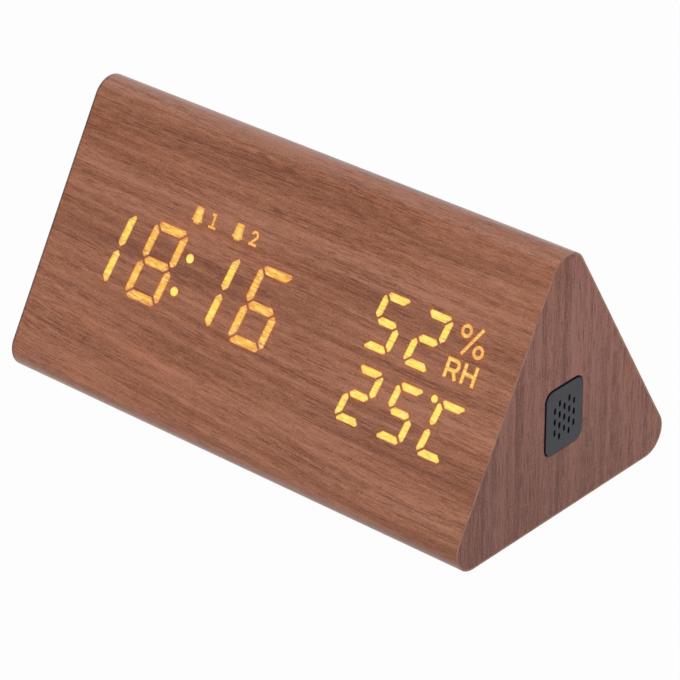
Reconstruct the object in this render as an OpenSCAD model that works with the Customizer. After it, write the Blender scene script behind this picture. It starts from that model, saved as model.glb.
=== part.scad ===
// Digital alarm clock with a triangular wood-grain body.
// The origin lies on the surface it stands on, under the middle of the body. +X runs along the ridge
// towards the end with the air grille, +Y points to the back and +Z is up. Sizes are in millimetres.

/* [Body] */
// Length of the body along its ridge
body_l = 150; // [130:1:180]
// Width of each face of the triangular section, measured to its sharp corners
section_w = 89; // [88:0.5:104]
// Radius of the three long edges
edge_r = 6.3; // [4:0.1:8]
// Thickness of the film wrapped round the body
film_t = 0.5; // [0.3:0.1:0.8]
// Thickness of the front, back and base boards
board_t = 5; // [4.5:0.1:6]
// Thickness of the two end panels
end_t = 5; // [4:0.1:5.5]

/* [Feet] */
// Height of the rubber feet
foot_h = 1; // [0.6:0.1:3]
// Diameter of the rubber feet
foot_d = 8; // [5:0.5:9]
// Distance from a foot's centre to the nearer end of the body
foot_end_inset = 11; // [8:0.5:20]
// Distance between the centres of the front and back feet
foot_span = 54; // [40:1:56]

/* [Time digits] */
// Distance from the body's left end to the middle of the time
time_end_inset = 45.94; // [45:0.01:46.5]
// Height of the time's middle up the front face, from the face's middle
time_v = -0.97; // [-3:0.01:1]
// Distance from one time digit to the next
time_pitch = 17.88; // [17.4:0.01:18]
// Distance between the centre lines of a time digit's upright segments
time_digit_w = 9.44; // [8:0.01:10]
// Distance between the centre lines of a time digit's top and bottom segments
time_digit_h = 18.75; // [16:0.01:19.5]
// Width of a time digit's segments
time_segment_w = 2.3; // [1.6:0.05:2.5]
// Diameter of the colon's dots
colon_dot_d = 2.5; // [1.6:0.1:3]
// Distance between the colon's dots, up the face
colon_span = 9.2; // [6:0.1:11]

/* [Climate digits] */
// Distance from one climate digit to the next
climate_pitch = 12.87; // [12.5:0.01:13]
// Distance between the centre lines of a climate digit's upright segments
climate_digit_w = 6.84; // [6:0.01:7.2]
// Distance between the centre lines of a climate digit's top and bottom segments
climate_digit_h = 12.76; // [11:0.01:13]
// Width of a climate digit's segments
climate_segment_w = 1.95; // [1.4:0.05:2.1]
// Distance from the body's right end to the middle of the first humidity digit
humidity_end_inset = 40.02; // [39.5:0.01:41]
// Height of the humidity digits' middle up the front face
humidity_v = 7.88; // [7.6:0.01:9]
// Distance from the body's right end to the middle of the first temperature digit
temperature_end_inset = 40.9; // [40:0.01:42]
// Height of the temperature digits' middle up the front face
temperature_v = -10.85; // [-12:0.01:-10.6]
// Diameter of the degree dot
degree_d = 2; // [1.2:0.1:2.2]
// Step from the last temperature digit to its degree dot, along the face
degree_dx = -4.8; // [-5.1:0.05:-4.6]
// Step from the last temperature digit to its degree dot, up the face
degree_dv = 6.55; // [6:0.05:7]

/* [Icons and signs] */
// Distance from the body's left end to the middle of the first alarm bell
alarm_end_inset = 44.8; // [43:0.1:46]
// Distance from the first alarm bell to the second
alarm_pitch = 13.75; // [12:0.05:15]
// Height of the alarm row up the front face
alarm_v = 14.5; // [14.3:0.1:16]
// Step from a bell to its numeral
alarm_numeral_dx = 5.2; // [4.5:0.1:6]
// Width of an alarm bell at its rim
bell_w = 3.5; // [2.8:0.1:4]
// Height of an alarm bell with its clapper
bell_h = 4.4; // [3.6:0.1:4.8]
// Height of the alarm numerals
numeral_h = 3.9; // [3.2:0.1:4.4]
// Width of the alarm numerals at their feet
numeral_w = 2.5; // [2.2:0.1:2.8]
// Reach of the flag of the numeral 1
numeral_flag = 0.95; // [0.8:0.05:1.1]
// Width of the strokes of the alarm numerals
numeral_stroke = 0.72; // [0.65:0.01:0.8]
// Distance from the body's right end to the middle of the percent sign
percent_end_inset = 15.1; // [14.5:0.1:15.5]
// Height of the percent sign's middle up the front face
percent_v = 11.7; // [11.5:0.1:12.5]
// Outer diameter of the percent sign's rings
percent_ring_d = 3.4; // [3.2:0.1:3.8]
// Step from the percent sign's middle to a ring, along the face
percent_ring_dx = 2.5; // [2.4:0.05:2.7]
// Step from the percent sign's middle to a ring, up the face
percent_ring_dv = 1.9; // [1.7:0.05:2.1]
// Reach of the percent sign's slash along the face
percent_slash_w = 4.1; // [3.8:0.1:4.4]
// Reach of the percent sign's slash up the face
percent_slash_h = 7.4; // [6.8:0.1:7.6]
// Width of the percent sign's strokes
percent_stroke = 0.92; // [0.7:0.01:1]
// Distance from the body's right end to the middle of the letter pair under the percent sign
letters_end_inset = 15.45; // [14.8:0.05:16]
// Height of the letter pair's middle up the front face
letters_v = 4; // [3.6:0.1:4.4]
// Distance between the middles of the two letters
letters_pitch = 5.1; // [5:0.05:5.6]
// Height of the letters
letters_h = 5.1; // [4.4:0.1:5.4]
// Width of the bridges that hold the middles of closed signs
stencil_bridge = 0.3; // [0.2:0.05:0.4]
// Width of the letters' strokes
letters_stroke = 1; // [0.8:0.01:1.05]
// Width of a letter between the middles of its outer strokes
letters_w = 3.24; // [3:0.02:3.4]

/* [Display] */
// Lean of the digits to the right, in degrees
digit_slant = 8.8; // [0:0.1:10]
// Gap between neighbouring segments of a digit
segment_gap = 0.55; // [0.25:0.05:0.6]
// Reflector left around the outermost segments
display_margin = 2; // [1.2:0.1:2.4]
// Reach of the display board past the reflector, along the face
display_lap_u = 1; // [0.6:0.1:1.2]
// Reach of the display board past the reflector, up and down the face
display_lap_v = 5; // [4.6:0.1:6]
// Distance from the display board's ends to its screws
display_screw_inset = 9; // [6:0.5:14]
// Length of an LED chip
led_l = 1; // [0.8:0.05:1.1]
// Width of an LED chip
led_w = 0.5; // [0.35:0.05:0.55]
// Height of an LED chip
led_h = 0.5; // [0.3:0.05:0.9]
// Length of the display driver chip
driver_l = 18; // [12:0.5:24]
// Width of the display driver chip
driver_w = 7.5; // [5:0.5:9]
// Height of the display driver chip
driver_h = 2.3; // [1.5:0.1:3]
// Height of the driver chip's middle up the front face
driver_v = 8; // [7:0.5:12]

/* [Air sensor] */
// Width of the grille's opening from front to back
grille_w = 14.6; // [13:0.1:18]
// Height of the grille's opening
grille_h = 18.3; // [17:0.1:22]
// Corner radius of the grille's opening
grille_r = 2.8; // [1.5:0.1:4]
// Gap between the grille and its opening
grille_gap = 0.45; // [0.3:0.05:0.6]
// Share of the gap by which the grille sits back and down from the middle of its opening
grille_off_share = 0.7; // [0:0.05:0.8]
// Height of the grille's middle above the body's base
grille_z = 26.7; // [24:0.1:30]
// Depth of the grille's face below the end panel's face
grille_recess = 0; // [0:0.1:0.8]
// Thickness of the grille's face
grille_plate_t = 1.2; // [0.8:0.1:1.6]
// Thickness of the grille's side walls
grille_wall = 1; // [0.8:0.1:1.4]
// Reach of the grille's inner flange past its side walls
grille_flange = 2.2; // [2:0.1:3]
// Thickness of the grille's inner flange
grille_flange_t = 1.2; // [0.8:0.1:2]
// Width of a grille slot
slot_w = 0.8; // [0.6:0.05:1]
// Height of a grille slot
slot_h = 1.8; // [1.4:0.1:2.2]
// Distance from one column of slots to the next
slot_column_pitch = 1.82; // [1.6:0.01:2]
// Distance from one slot to the next in a column
slot_row_pitch = 3.03; // [2.7:0.01:3.1]
// Thickness of the sensor board
sensor_board_t = 1; // [0.8:0.1:1.6]
// Width of the humidity sensor
sensor_w = 3; // [2:0.1:5]
// Height of the humidity sensor
sensor_h = 1; // [0.6:0.1:1.6]
// Diameter of the posts that hold the sensor board
sensor_post_d = 1.4; // [1:0.1:1.6]
// Height of the sensor posts past their board
sensor_post_proud = 0.5; // [0.3:0.1:1]

/* [Buttons] */
// Diameter of a button cap
button_d = 8; // [6:0.1:9]
// Distance from one button to the next
button_pitch = 16; // [14:0.5:18]
// Height of the buttons up the back face, from the face's middle
button_v = 8; // [7:0.5:10]
// Height of a button's top above the back face
button_proud = 1.2; // [0.8:0.1:2]
// Travel of a button
button_travel = 0.5; // [0.2:0.05:0.6]
// Gap round a button cap
button_gap = 0.3; // [0.25:0.05:0.5]
// Reach of a button's inner flange past its cap
button_flange = 1.5; // [1:0.1:2]
// Thickness of a button's inner flange
button_flange_t = 1; // [0.8:0.1:1.5]
// Bevel round a button's top
button_bevel = 0.6; // [0.2:0.1:0.8]
// Size of the mark in a button's top
button_mark = 3.4; // [2.5:0.1:4]
// Depth of the mark in a button's top
button_mark_depth = 0.3; // [0.2:0.05:0.5]

/* [Switches] */
// Width of a switch body
switch_w = 6; // [5:0.1:7]
// Height of a switch body
switch_h = 3.5; // [3:0.1:4.5]
// Diameter of a switch plunger
plunger_d = 3.5; // [2.5:0.1:4]
// Length of a switch plunger
plunger_l = 2; // [1.8:0.1:2.4]
// Length of a plunger that stands out of its switch body
plunger_proud = 1; // [0.8:0.05:1.2]
// Length of the button board
button_board_l = 64; // [62:1:76]
// Width of the button board
button_board_w = 16; // [15:0.5:17]
// Distance from the button board's edges to its screws
button_board_inset = 3.5; // [3:0.1:4]
// Outer diameter of the button board's spacers
spacer_d = 5; // [4:0.1:5.5]

/* [Power socket] */
// Distance from the middle of the power socket to the nearer end of the body
jack_end_inset = 27; // [21:1:31]
// Height of the power socket up the back face, from the face's middle
jack_v = -20; // [-21:0.5:-16]
// Diameter of the socket's outer flange
jack_flange_d = 10; // [9.5:0.1:12]
// Thickness of the socket's outer flange
jack_flange_t = 1.2; // [0.8:0.1:2]
// Diameter of the socket's barrel
jack_barrel_d = 7.8; // [7:0.1:8.5]
// Length of the socket's barrel behind the back face
jack_barrel_l = 10.5; // [10:0.1:12]
// Diameter of the socket's bore
jack_bore_d = 3.6; // [3.2:0.1:5]
// Depth of the socket's bore
jack_bore_l = 8.5; // [7:0.1:9]
// Diameter of the socket's pin
jack_pin_d = 1.3; // [1:0.05:1.6]
// Distance from the socket's mouth to the tip of its pin
jack_pin_recess = 1; // [0.5:0.1:2]
// Size of the socket's nut across its flats
nut_flats = 10; // [9.6:0.1:11]
// Thickness of the socket's nut
nut_t = 2; // [1.5:0.1:3]

/* [Battery tray] */
// Diameter of an AAA cell
cell_d = 10.5; // [10:0.1:10.7]
// Length of an AAA cell with its tip
cell_l = 44.5; // [43:0.1:46]
// Diameter of a cell's tip
cell_tip_d = 3.8; // [3:0.1:4.5]
// Length of a cell's tip
cell_tip_l = 0.8; // [0.6:0.1:1.2]
// Distance from one cell to the next
cell_pitch = 11; // [10.9:0.1:11.4]
// Play of a cell between its contacts
cell_play = 0.1; // [0.05:0.05:0.2]
// Thickness of the contact strip
contact_t = 0.4; // [0.3:0.05:0.6]
// Height of the bowed contact at a cell's flat end
bow_h = 4; // [3:0.1:5]
// Length of a bowed contact across the cell
bow_span = 7.6; // [6:0.1:8]
// Height of the contact strip
contact_h = 6.5; // [5:0.1:8]
// Width of a terminal's solder tab
tab_w = 2; // [1.6:0.1:3]
// Height of a terminal's solder tab above the tray
tab_proud = 1; // [0.6:0.1:1.6]
// Thickness of the tray's walls
tray_wall = 2; // [1.8:0.1:2.4]
// Thickness of the tray's roof
tray_roof_t = 1.5; // [1.2:0.1:2]
// Gap between the cells and the tray's roof
cell_roof_gap = 0.2; // [0.1:0.05:0.3]
// Reach of the tray's flange past its walls
flange_lap = 6; // [5.5:0.1:7]
// Corner radius of the tray's flange
flange_r = 3; // [1:0.1:5]
// Height of the posts under the main board
boss_h = 3; // [2.5:0.1:5]
// Diameter of the posts under the main board
boss_d = 5; // [4.4:0.1:6]

/* [Battery door] */
// Thickness of the battery door
door_t = 2; // [1.8:0.1:2.4]
// Reach of the door past the cells' space
door_lap = 1; // [0.8:0.1:1.2]
// Gap round the battery door
door_gap = 0.3; // [0.25:0.05:0.4]
// Diameter of the door's hinge pins
hinge_pin_d = 1.1; // [0.9:0.05:1.2]
// Length of the door's hinge pins
hinge_pin_l = 2; // [1.5:0.1:3]
// Number of grip grooves in the door
groove_count = 4; // [2:1:6]
// Length of a grip groove
groove_l = 18; // [10:1:30]
// Width of a grip groove
groove_w = 1; // [0.6:0.1:1.4]
// Depth of a grip groove
groove_depth = 0.6; // [0.3:0.1:0.8]
// Width of the finger scoop beside the door
scoop_w = 14; // [10:1:20]
// Depth of the finger scoop
scoop_depth = 1.2; // [0.8:0.1:1.4]
// Reach of the finger scoop into the flange
scoop_reach = 3; // [2:0.1:4]

/* [Main board] */
// Thickness of the circuit boards
pcb_t = 1.6; // [1:0.1:2]
// Distance from the terminals' solder tabs to the main board's ends
main_tab_gap = 2.7; // [1.7:0.1:3.7]
// Width of the main board
main_w = 38; // [36:1:40]
// Distance from the main board's edges to its screws
boss_inset = 4; // [3.5:0.1:5]
// Width of the clock chip
chip_w = 10; // [6:0.5:11]
// Height of the clock chip
chip_h = 1.6; // [1:0.1:2.5]
// Middle of the clock chip along the main board
chip_x = -6; // [-8:0.5:-4]
// Middle of the clock chip across the main board
chip_y = -2; // [-4:0.5:0]
// Diameter of the alarm buzzer
buzzer_d = 12; // [9:0.5:12.5]
// Height of the alarm buzzer
buzzer_h = 8.5; // [5:0.5:9]
// Diameter of the buzzer's sound hole
buzzer_hole_d = 2.5; // [1.5:0.1:4]
// Depth of the buzzer's sound hole
buzzer_hole_depth = 2; // [1:0.1:3]
// Distance from the main board's right end to the middle of the buzzer
buzzer_end_inset = 11; // [10:0.5:12]
// Diameter of the crystal's can
crystal_d = 2; // [1.5:0.1:3]
// Length of the crystal's can
crystal_l = 6; // [4:0.5:8]
// Middle of the crystal across the main board
crystal_y = -11; // [-12:0.5:-10]

/* [Screws] */
// Diameter of the board screws' thread
screw_d = 2; // [1.6:0.1:2.2]
// Length of the board screws below their heads
screw_l = 5; // [4:0.1:5.5]
// Diameter of the board screws' heads
screw_head_d = 3.8; // [3:0.1:4]
// Height of the board screws' heads
screw_head_h = 1.4; // [1:0.1:2]
// Grip of the button board's screws in the back board
spacer_screw_grip = 3.4; // [2.5:0.1:4]
// Diameter of the tray screws' thread
tray_screw_d = 2.4; // [2:0.1:2.6]
// Length of the tray screws
tray_screw_l = 5; // [4:0.1:5.4]
// Diameter of the tray screws' heads
tray_screw_head_d = 4.6; // [4:0.1:5]
// Width of the cross in a screw's head
cross_w = 0.5; // [0.4:0.05:0.7]
// Length of the cross in a screw's head
cross_l = 2.2; // [1.6:0.1:2.6]
// Depth of the cross in a screw's head
cross_depth = 0.7; // [0.4:0.1:0.9]

/* [Leads] */
// Diameter of a wire
wire_d = 1.1; // [0.8:0.05:1.2]
// Distance between neighbouring wires of a lead
wire_pitch = 1.3; // [1.25:0.05:1.5]
// Distance between the two wires of the power lead
power_wire_pitch = 2.4; // [2.2:0.1:2.8]
// Distance from the main board's edge to its leads' ends
lead_inset = 2.5; // [2:0.1:3]
// Height at which leads come down onto the main board
lead_drop = 8; // [6:0.5:10]
// Length over which a lead leaves its far end straight
lead_reach = 6; // [4:0.5:8]
// Height at which the display lead leaves its board, up the front face
display_lead_v = -6; // [-8:0.5:-4]

/* [Fits] */
// Gap of pieces that are set into one another
fit_gap = 0.1; // [0.05:0.01:0.15]
// Gap round screws and pins
pin_gap = 0.05; // [0.02:0.01:0.08]
// Room left between an LED chip and the resin over it
led_gap = 0.2; // [0.1:0.05:0.4]
// Free depth under a plunger at the end of its travel
plunger_spare = 0.2; // [0.1:0.05:0.4]

/* [Hidden] */

$fn = 48;
// Overshoot of cutting shapes
cut = 0.5;
// Slope of the front and back faces
face_slope = 60;
// Steps in each of the body's outer edges, and in each smaller rounded edge
large_arc_steps = 24;
small_arc_steps = 6;

section_h = section_w * sqrt(3) / 2;
circum_r = section_w / sqrt(3);
centroid_z = foot_h + section_h / 3;
face_mid_y = section_w / 4;
face_mid_z = foot_h + section_h / 2;
skin_t = film_t + board_t;
board_l = body_l - 2 * end_t;
// Corners of the section, as directions from its middle
ridge_corner = 90;
front_corner = 210;
back_corner = 330;

// Share of a segment's width that is left at a digit's outer corners
corner_share = 0.22;
lean = tan(digit_slant);
miter = segment_gap / sqrt(2);
time_size = [time_digit_w / 2, time_digit_h / 2, time_segment_w];
climate_size = [climate_digit_w / 2, climate_digit_h / 2, climate_segment_w];
all_letters = "abcdefg";

// Places of what the display shows, measured from the middle of the front face
time_x = -body_l / 2 + time_end_inset;
alarm_x = -body_l / 2 + alarm_end_inset;
humidity_x = body_l / 2 - humidity_end_inset;
temperature_x = body_l / 2 - temperature_end_inset;
percent_x = body_l / 2 - percent_end_inset;
letters_x = body_l / 2 - letters_end_inset;

// Each digit: its middle along the face, its middle up the face, its sizes and its lit segments
hour_tens = [time_x - 1.5 * time_pitch, time_v, time_size, "bc"];
hour_units = [time_x - 0.5 * time_pitch, time_v, time_size, "abcdefg"];
minute_tens = [time_x + 0.5 * time_pitch, time_v, time_size, "bc"];
minute_units = [time_x + 1.5 * time_pitch, time_v, time_size, "acdefg"];
humidity_tens = [humidity_x, humidity_v, climate_size, "acdfg"];
humidity_units = [humidity_x + climate_pitch, humidity_v, climate_size, "abdeg"];
temperature_tens = [temperature_x, temperature_v, climate_size, "abdeg"];
temperature_units = [temperature_x + climate_pitch, temperature_v, climate_size, "acdfg"];
temperature_letter = [temperature_x + 2 * climate_pitch, temperature_v, climate_size, "adef"];
digits = [
    hour_tens, hour_units, minute_tens, minute_units, humidity_tens, humidity_units,
    temperature_tens, temperature_units, temperature_letter
];

// Right half of a bell's outline from its clapper up, as shares of its width and height
bell_half = [
    [0.22, -0.5], [0.29, -0.44], [0.29, -0.36], [0.5, -0.36], [0.5, -0.28],
    [0.42, -0.14], [0.37, 0.15], [0.34, 0.44], [0.29, 0.5]
];
// Directions at which the bowl of the numeral 2 ends and starts
bowl_end = -35;
bowl_start = 170;
// Radius of the letter R's bowl, as a share of its height
letter_bowl_share = 0.24;
percent_ring_r = percent_ring_d / 2 - percent_stroke / 2;
percent_rings = [[-percent_ring_dx, percent_ring_dv], [percent_ring_dx, -percent_ring_dv]];
percent_slash = [percent_slash_w, percent_slash_h];

// Edges of the reflector in the front face's plane
display_left = hour_tens.x - time_digit_w / 2 - time_segment_w / 2 - lean * time_digit_h / 2 - display_margin;
display_right = temperature_letter.x + climate_digit_w / 2 + climate_segment_w / 2
    + lean * climate_digit_h / 2 + display_margin;
display_top = alarm_v + bell_h / 2 + display_margin;
display_bottom = temperature_v - climate_digit_h / 2 - climate_segment_w / 2 - display_margin;
display_l = display_right - display_left;
display_w = display_top - display_bottom;
display_u = (display_left + display_right) / 2;
display_v = (display_bottom + display_top) / 2;
display_screw_u = display_l / 2 - display_screw_inset;
display_screw_v = display_w / 2 + display_lap_v / 2;
resin_floor = -skin_t + led_h + led_gap;

grille_off = grille_off_share * grille_gap;
grille_body_w = grille_w - 2 * grille_gap;
grille_body_h = grille_h - 2 * grille_gap;
grille_body_r = grille_r - grille_gap;
sensor_board_w = grille_body_w + 2 * grille_flange;
sensor_board_h = grille_body_h + 2 * grille_flange;
sensor_post_z = grille_body_h / 2 + grille_flange / 2;
// Columns of slots: how many each has, from front to back
slot_columns = [3, 4, 3, 4, 3];

button_flange_top = -skin_t - fit_gap;
button_bottom = button_flange_top - button_flange_t;
switch_top = button_bottom - plunger_proud;
switch_floor = switch_top - switch_h;
spacer_l = -skin_t - switch_floor;
spacer_screw_l = spacer_l + pcb_t + spacer_screw_grip;
spacer_u = button_board_l / 2 - button_board_inset;
spacer_v = button_board_w / 2 - button_board_inset;
button_count = 3;
// Corners of the triangular marks on the up and down buttons
mark_sides = 3;
jack_u = body_l / 2 - jack_end_inset;
nut_sides = 6;

cavity_l = cell_l + cell_play + bow_h + 2 * contact_t;
cell_count = 4;
cavity_w = cell_count * cell_pitch;
door_l = cavity_l + 2 * door_lap;
door_w = cavity_w + 2 * door_lap;
tray_l = cavity_l + 2 * tray_wall;
tray_w = cavity_w + 2 * tray_wall;
flange_l = tray_l + 2 * flange_lap;
flange_w = tray_w + 2 * flange_lap;
flange_t = door_t + door_gap;
flange_top = foot_h + flange_t;
cell_z = flange_top + cell_d / 2;
roof_z = cell_z + cell_d / 2 + cell_roof_gap;
tray_top = roof_z + tray_roof_t;
hinge_y = door_w / 2 - door_t / 2;
hinge_z = foot_h + door_t / 2;
tray_screw_x = tray_l / 2 + flange_lap / 2;
tray_screw_y = tray_w / 2 + flange_lap / 2;
// First cell's middle across the tray
first_cell_y = -cavity_w / 2 + cell_pitch / 2;
// Half width of a bowed contact's peak, as a share of its length
bow_peak_share = 0.1;

main_l = cavity_l - 2 * main_tab_gap;
main_z = tray_top + boss_h;
main_top = main_z + pcb_t;
boss_x = main_l / 2 - boss_inset;
boss_y = main_w / 2 - boss_inset;
buzzer_x = main_l / 2 - buzzer_end_inset;

// Sides and rings of a wire
wire_sides = 8;
wire_rings = 12;
// Directions into the body from the front and back faces
front_inward = [0, sin(face_slope), -cos(face_slope)];
back_inward = [0, -sin(face_slope), -cos(face_slope)];
// Height at which the button lead leaves its board, up the back face
button_lead_v = button_v - button_board_w / 4;

film_color = [0.45, 0.27, 0.17];
board_color = [0.68, 0.52, 0.36];
plastic_color = [0.16, 0.16, 0.17];
white_color = [0.9, 0.9, 0.88];
amber_color = [1, 0.78, 0.25];
resin_color = [0.72, 0.66, 0.52];
pcb_color = [0.1, 0.32, 0.18];
chip_color = [0.1, 0.1, 0.11];
steel_color = [0.75, 0.75, 0.76];
rubber_color = [0.12, 0.12, 0.12];
sleeve_color = [0.2, 0.24, 0.3];
red_color = [0.7, 0.1, 0.08];
grey_color = [0.55, 0.55, 0.57];

// Part of a rounded corner of the body's section, moved inwards by the inset
function corner_arc(corner, inset, first, last) =
    let (
        reach = circum_r - 2 * max(edge_r, inset),
        r = max(edge_r - inset, 0),
        full_steps = inset > film_t ? small_arc_steps : large_arc_steps,
        steps = full_steps * abs(last - first) / (2 * face_slope)
    ) [
        for (i = [0 : steps])
            let (turn = corner + first + (last - first) * i / steps)
            [reach * cos(corner) + r * cos(turn), centroid_z + reach * sin(corner) + r * sin(turn)]
    ];
// Outline of the whole section
function section_outline(inset) = [
    for (corner = [ridge_corner, front_corner, back_corner])
        each corner_arc(corner, inset, -face_slope, face_slope)
];
// Outline of one board, from the middle of a corner to the middle of the next
function board_outline(corner) =
    let (next = corner + 2 * face_slope)
    concat(
        corner_arc(corner, film_t, 0, face_slope), corner_arc(next, film_t, -face_slope, 0),
        corner_arc(next, skin_t, 0, -face_slope), corner_arc(corner, skin_t, face_slope, 0)
    );

// Outline of a rectangle with rounded corners, about its middle
function rounded_rect(w, h, r) = [
    for (quarter = [0 : 3])
        for (i = [0 : small_arc_steps])
            let (
                side_x = quarter == 0 || quarter == 3 ? 1 : -1,
                side_y = quarter < 2 ? 1 : -1,
                turn = 90 * (quarter + i / small_arc_steps)
            )
            [side_x * (w / 2 - r) + r * cos(turn), side_y * (h / 2 - r) + r * sin(turn)]
];

// Outline of a band along an arc
function arc_band(centre, r, width, first, last) = [
    for (i = [0 : 2 * small_arc_steps])
        let (turn = first + (last - first) * i / (2 * small_arc_steps))
        centre + (r + width / 2) * [cos(turn), sin(turn)],
    for (i = [0 : 2 * small_arc_steps])
        let (turn = last + (first - last) * i / (2 * small_arc_steps))
        centre + (r - width / 2) * [cos(turn), sin(turn)]
];

// Upright outlines of the top, upper right and middle segments of a digit
function top_segment(w, h, t) =
    let (keep = corner_share * t, right = [
        [w - t / 2 - miter, h - t / 2],
        [w + (keep - miter) / 2, h + (keep + miter) / 2],
        [w + keep - t / 2, h + t / 2]
    ])
    concat(right, [for (i = [2 : -1 : 0]) [-right[i].x, right[i].y]]);
function side_segment(w, h, t) =
    let (keep = corner_share * t) [
        [w + t / 2, h + keep - t / 2],
        [w + (keep + miter) / 2, h + (keep - miter) / 2],
        [w - t / 2, h - t / 2 - miter],
        [w - t / 2, t / 2 + miter],
        [w, miter],
        [w + t / 2, t / 2 + miter]
    ];
function middle_segment(w, t) =
    let (right = [[w - t / 2 - miter, -t / 2], [w - miter, 0], [w - t / 2 - miter, t / 2]])
    concat(right, [for (i = [2 : -1 : 0]) [-right[i].x, right[i].y]]);

// Side of the digit that a segment lies on: -1 left or down, 1 right or up, 0 in the middle
function segment_side_x(letter) = letter == "b" || letter == "c" ? 1 : letter == "e" || letter == "f" ? -1 : 0;
function segment_side_y(letter) =
    letter == "a" || letter == "b" || letter == "f" ? 1 : letter == "g" ? 0 : -1;
function leaning(points) = [for (p = points) [p.x + lean * p.y, p.y]];
function flipped(points, side_x, side_y) =
    [for (p = points) [side_x < 0 ? -p.x : p.x, side_y < 0 ? -p.y : p.y]];
function segment_outline(letter, size) =
    let (side_x = segment_side_x(letter), side_y = segment_side_y(letter))
    leaning(flipped(
        side_y == 0 ? middle_segment(size.x, size.z)
            : side_x == 0 ? top_segment(size.x, size.y, size.z)
            : side_segment(size.x, size.y, size.z),
        side_x, side_y
    ));
function segment_middle(letter, size) =
    let (side_x = segment_side_x(letter), side_y = segment_side_y(letter))
    leaning([[side_x * size.x, side_y * size.y * (side_x == 0 ? 1 : 0.5)]])[0];
function unlit_letters(lit) = [for (letter = all_letters) if (len(search(letter, lit)) == 0) letter];

// Points given in the front or back face's own directions: along it, up it and out of it
function front_point(u, v, w) = [
    u,
    -face_mid_y + v * cos(face_slope) - w * sin(face_slope),
    face_mid_z + v * sin(face_slope) + w * cos(face_slope)
];
function back_point(u, v, w) = [
    -u,
    face_mid_y - v * cos(face_slope) + w * sin(face_slope),
    face_mid_z + v * sin(face_slope) + w * cos(face_slope)
];

module on_front() {
    translate([0, -face_mid_y, face_mid_z]) rotate([face_slope, 0, 0]) children();
}

module on_back() {
    translate([0, face_mid_y, face_mid_z]) rotate([face_slope, 0, 180]) children();
}

module on_right_end() {
    translate([body_l / 2, 0, foot_h]) rotate([90, 0, 90]) children();
}

// A solid of the section's plane shape, along the body
module along_body(l) {
    rotate([90, 0, 90]) linear_extrude(height = l, center = true) children();
}

module stroke(from, to, width) {
    run = to - from;
    translate(from) rotate(atan2(run.y, run.x)) translate([0, -width / 2]) square([norm(run), width]);
}

module box_at(x, y, z, l, w, h) {
    translate([x - l / 2, y - w / 2, z]) cube([l, w, h]);
}

module screw_cross() {
    for (turn = [0, 90]) rotate(turn) cube([cross_l, cross_w, 2 * cross_depth], center = true);
}

// Plane shapes of what the display shows

module digit_outline(digit, letters) {
    translate([digit.x, digit.y])
        for (i = [0 : len(letters) - 1]) polygon(segment_outline(letters[i], digit.z));
}

module colon_outline() {
    for (side = [-1, 1])
        translate([time_x + side * lean * colon_span / 2, time_v + side * colon_span / 2])
            circle(d = colon_dot_d);
}

module bell_outline() {
    right = [for (p = bell_half) [p.x * bell_w, p.y * bell_h]];
    left = [for (i = [len(right) - 1 : -1 : 0]) [-right[i].x, right[i].y]];
    polygon(concat(right, left));
}

module numeral_foot_outline() {
    foot_y = -numeral_h / 2 + numeral_stroke / 2;
    stroke([-numeral_w / 2, foot_y], [numeral_w / 2, foot_y], numeral_stroke);
}

module numeral_one_outline() {
    head_y = numeral_h / 2 - numeral_stroke / 2;
    stroke([0, -head_y], [0, numeral_h / 2], numeral_stroke);
    stroke([-numeral_flag, head_y], [0, head_y], numeral_stroke);
    numeral_foot_outline();
}

module numeral_two_outline() {
    foot_y = -numeral_h / 2 + numeral_stroke / 2;
    bowl_r = (numeral_w - numeral_stroke) / 2;
    bowl = [0, numeral_h / 2 - numeral_stroke / 2 - bowl_r];
    polygon(arc_band(bowl, bowl_r, numeral_stroke, bowl_end, bowl_start));
    stroke(
        bowl + bowl_r * [cos(bowl_end), sin(bowl_end)],
        [-numeral_w / 2 + numeral_stroke / 2, foot_y], numeral_stroke
    );
    numeral_foot_outline();
}

module alarm_outline(index) {
    translate([alarm_x + index * alarm_pitch, alarm_v]) {
        bell_outline();
        translate([alarm_numeral_dx, 0]) {
            if (index == 0) numeral_one_outline();
            else numeral_two_outline();
        }
    }
}

module percent_outline() {
    for (ring = percent_rings)
        translate(ring) difference() {
            circle(d = percent_ring_d);
            circle(d = percent_ring_d - 2 * percent_stroke);
            translate([sign(ring.x) * percent_ring_r, 0])
                square([2 * percent_stroke, stencil_bridge], center = true);
        }
    stroke(-percent_slash / 2, percent_slash / 2, percent_stroke);
}

module letter_r_outline() {
    half = letters_w / 2;
    top = letters_h / 2 - letters_stroke / 2;
    bowl_r = letter_bowl_share * letters_h;
    bowl = [half - bowl_r, top - bowl_r];
    bar_y = top - 2 * bowl_r;
    stroke([-half, -letters_h / 2], [-half, letters_h / 2], letters_stroke);
    stroke([-half, top], [bowl.x, top], letters_stroke);
    stroke([-half + letters_stroke / 2 + stencil_bridge, bar_y], [bowl.x, bar_y], letters_stroke);
    polygon(arc_band(bowl, bowl_r, letters_stroke, -90, 90));
    stroke([bowl.x, bar_y], [half, -letters_h / 2], letters_stroke);
}

module letter_h_outline() {
    half = letters_w / 2;
    for (side = [-1, 1]) stroke([side * half, -letters_h / 2], [side * half, letters_h / 2], letters_stroke);
    stroke([-half, 0], [half, 0], letters_stroke);
}

module humidity_sign_outline() {
    translate([percent_x, percent_v]) percent_outline();
    translate([letters_x - letters_pitch / 2, letters_v]) letter_r_outline();
    translate([letters_x + letters_pitch / 2, letters_v]) letter_h_outline();
}

module degree_outline() {
    translate([temperature_letter.x + degree_dx, temperature_letter.y + degree_dv]) circle(d = degree_d);
}

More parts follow.
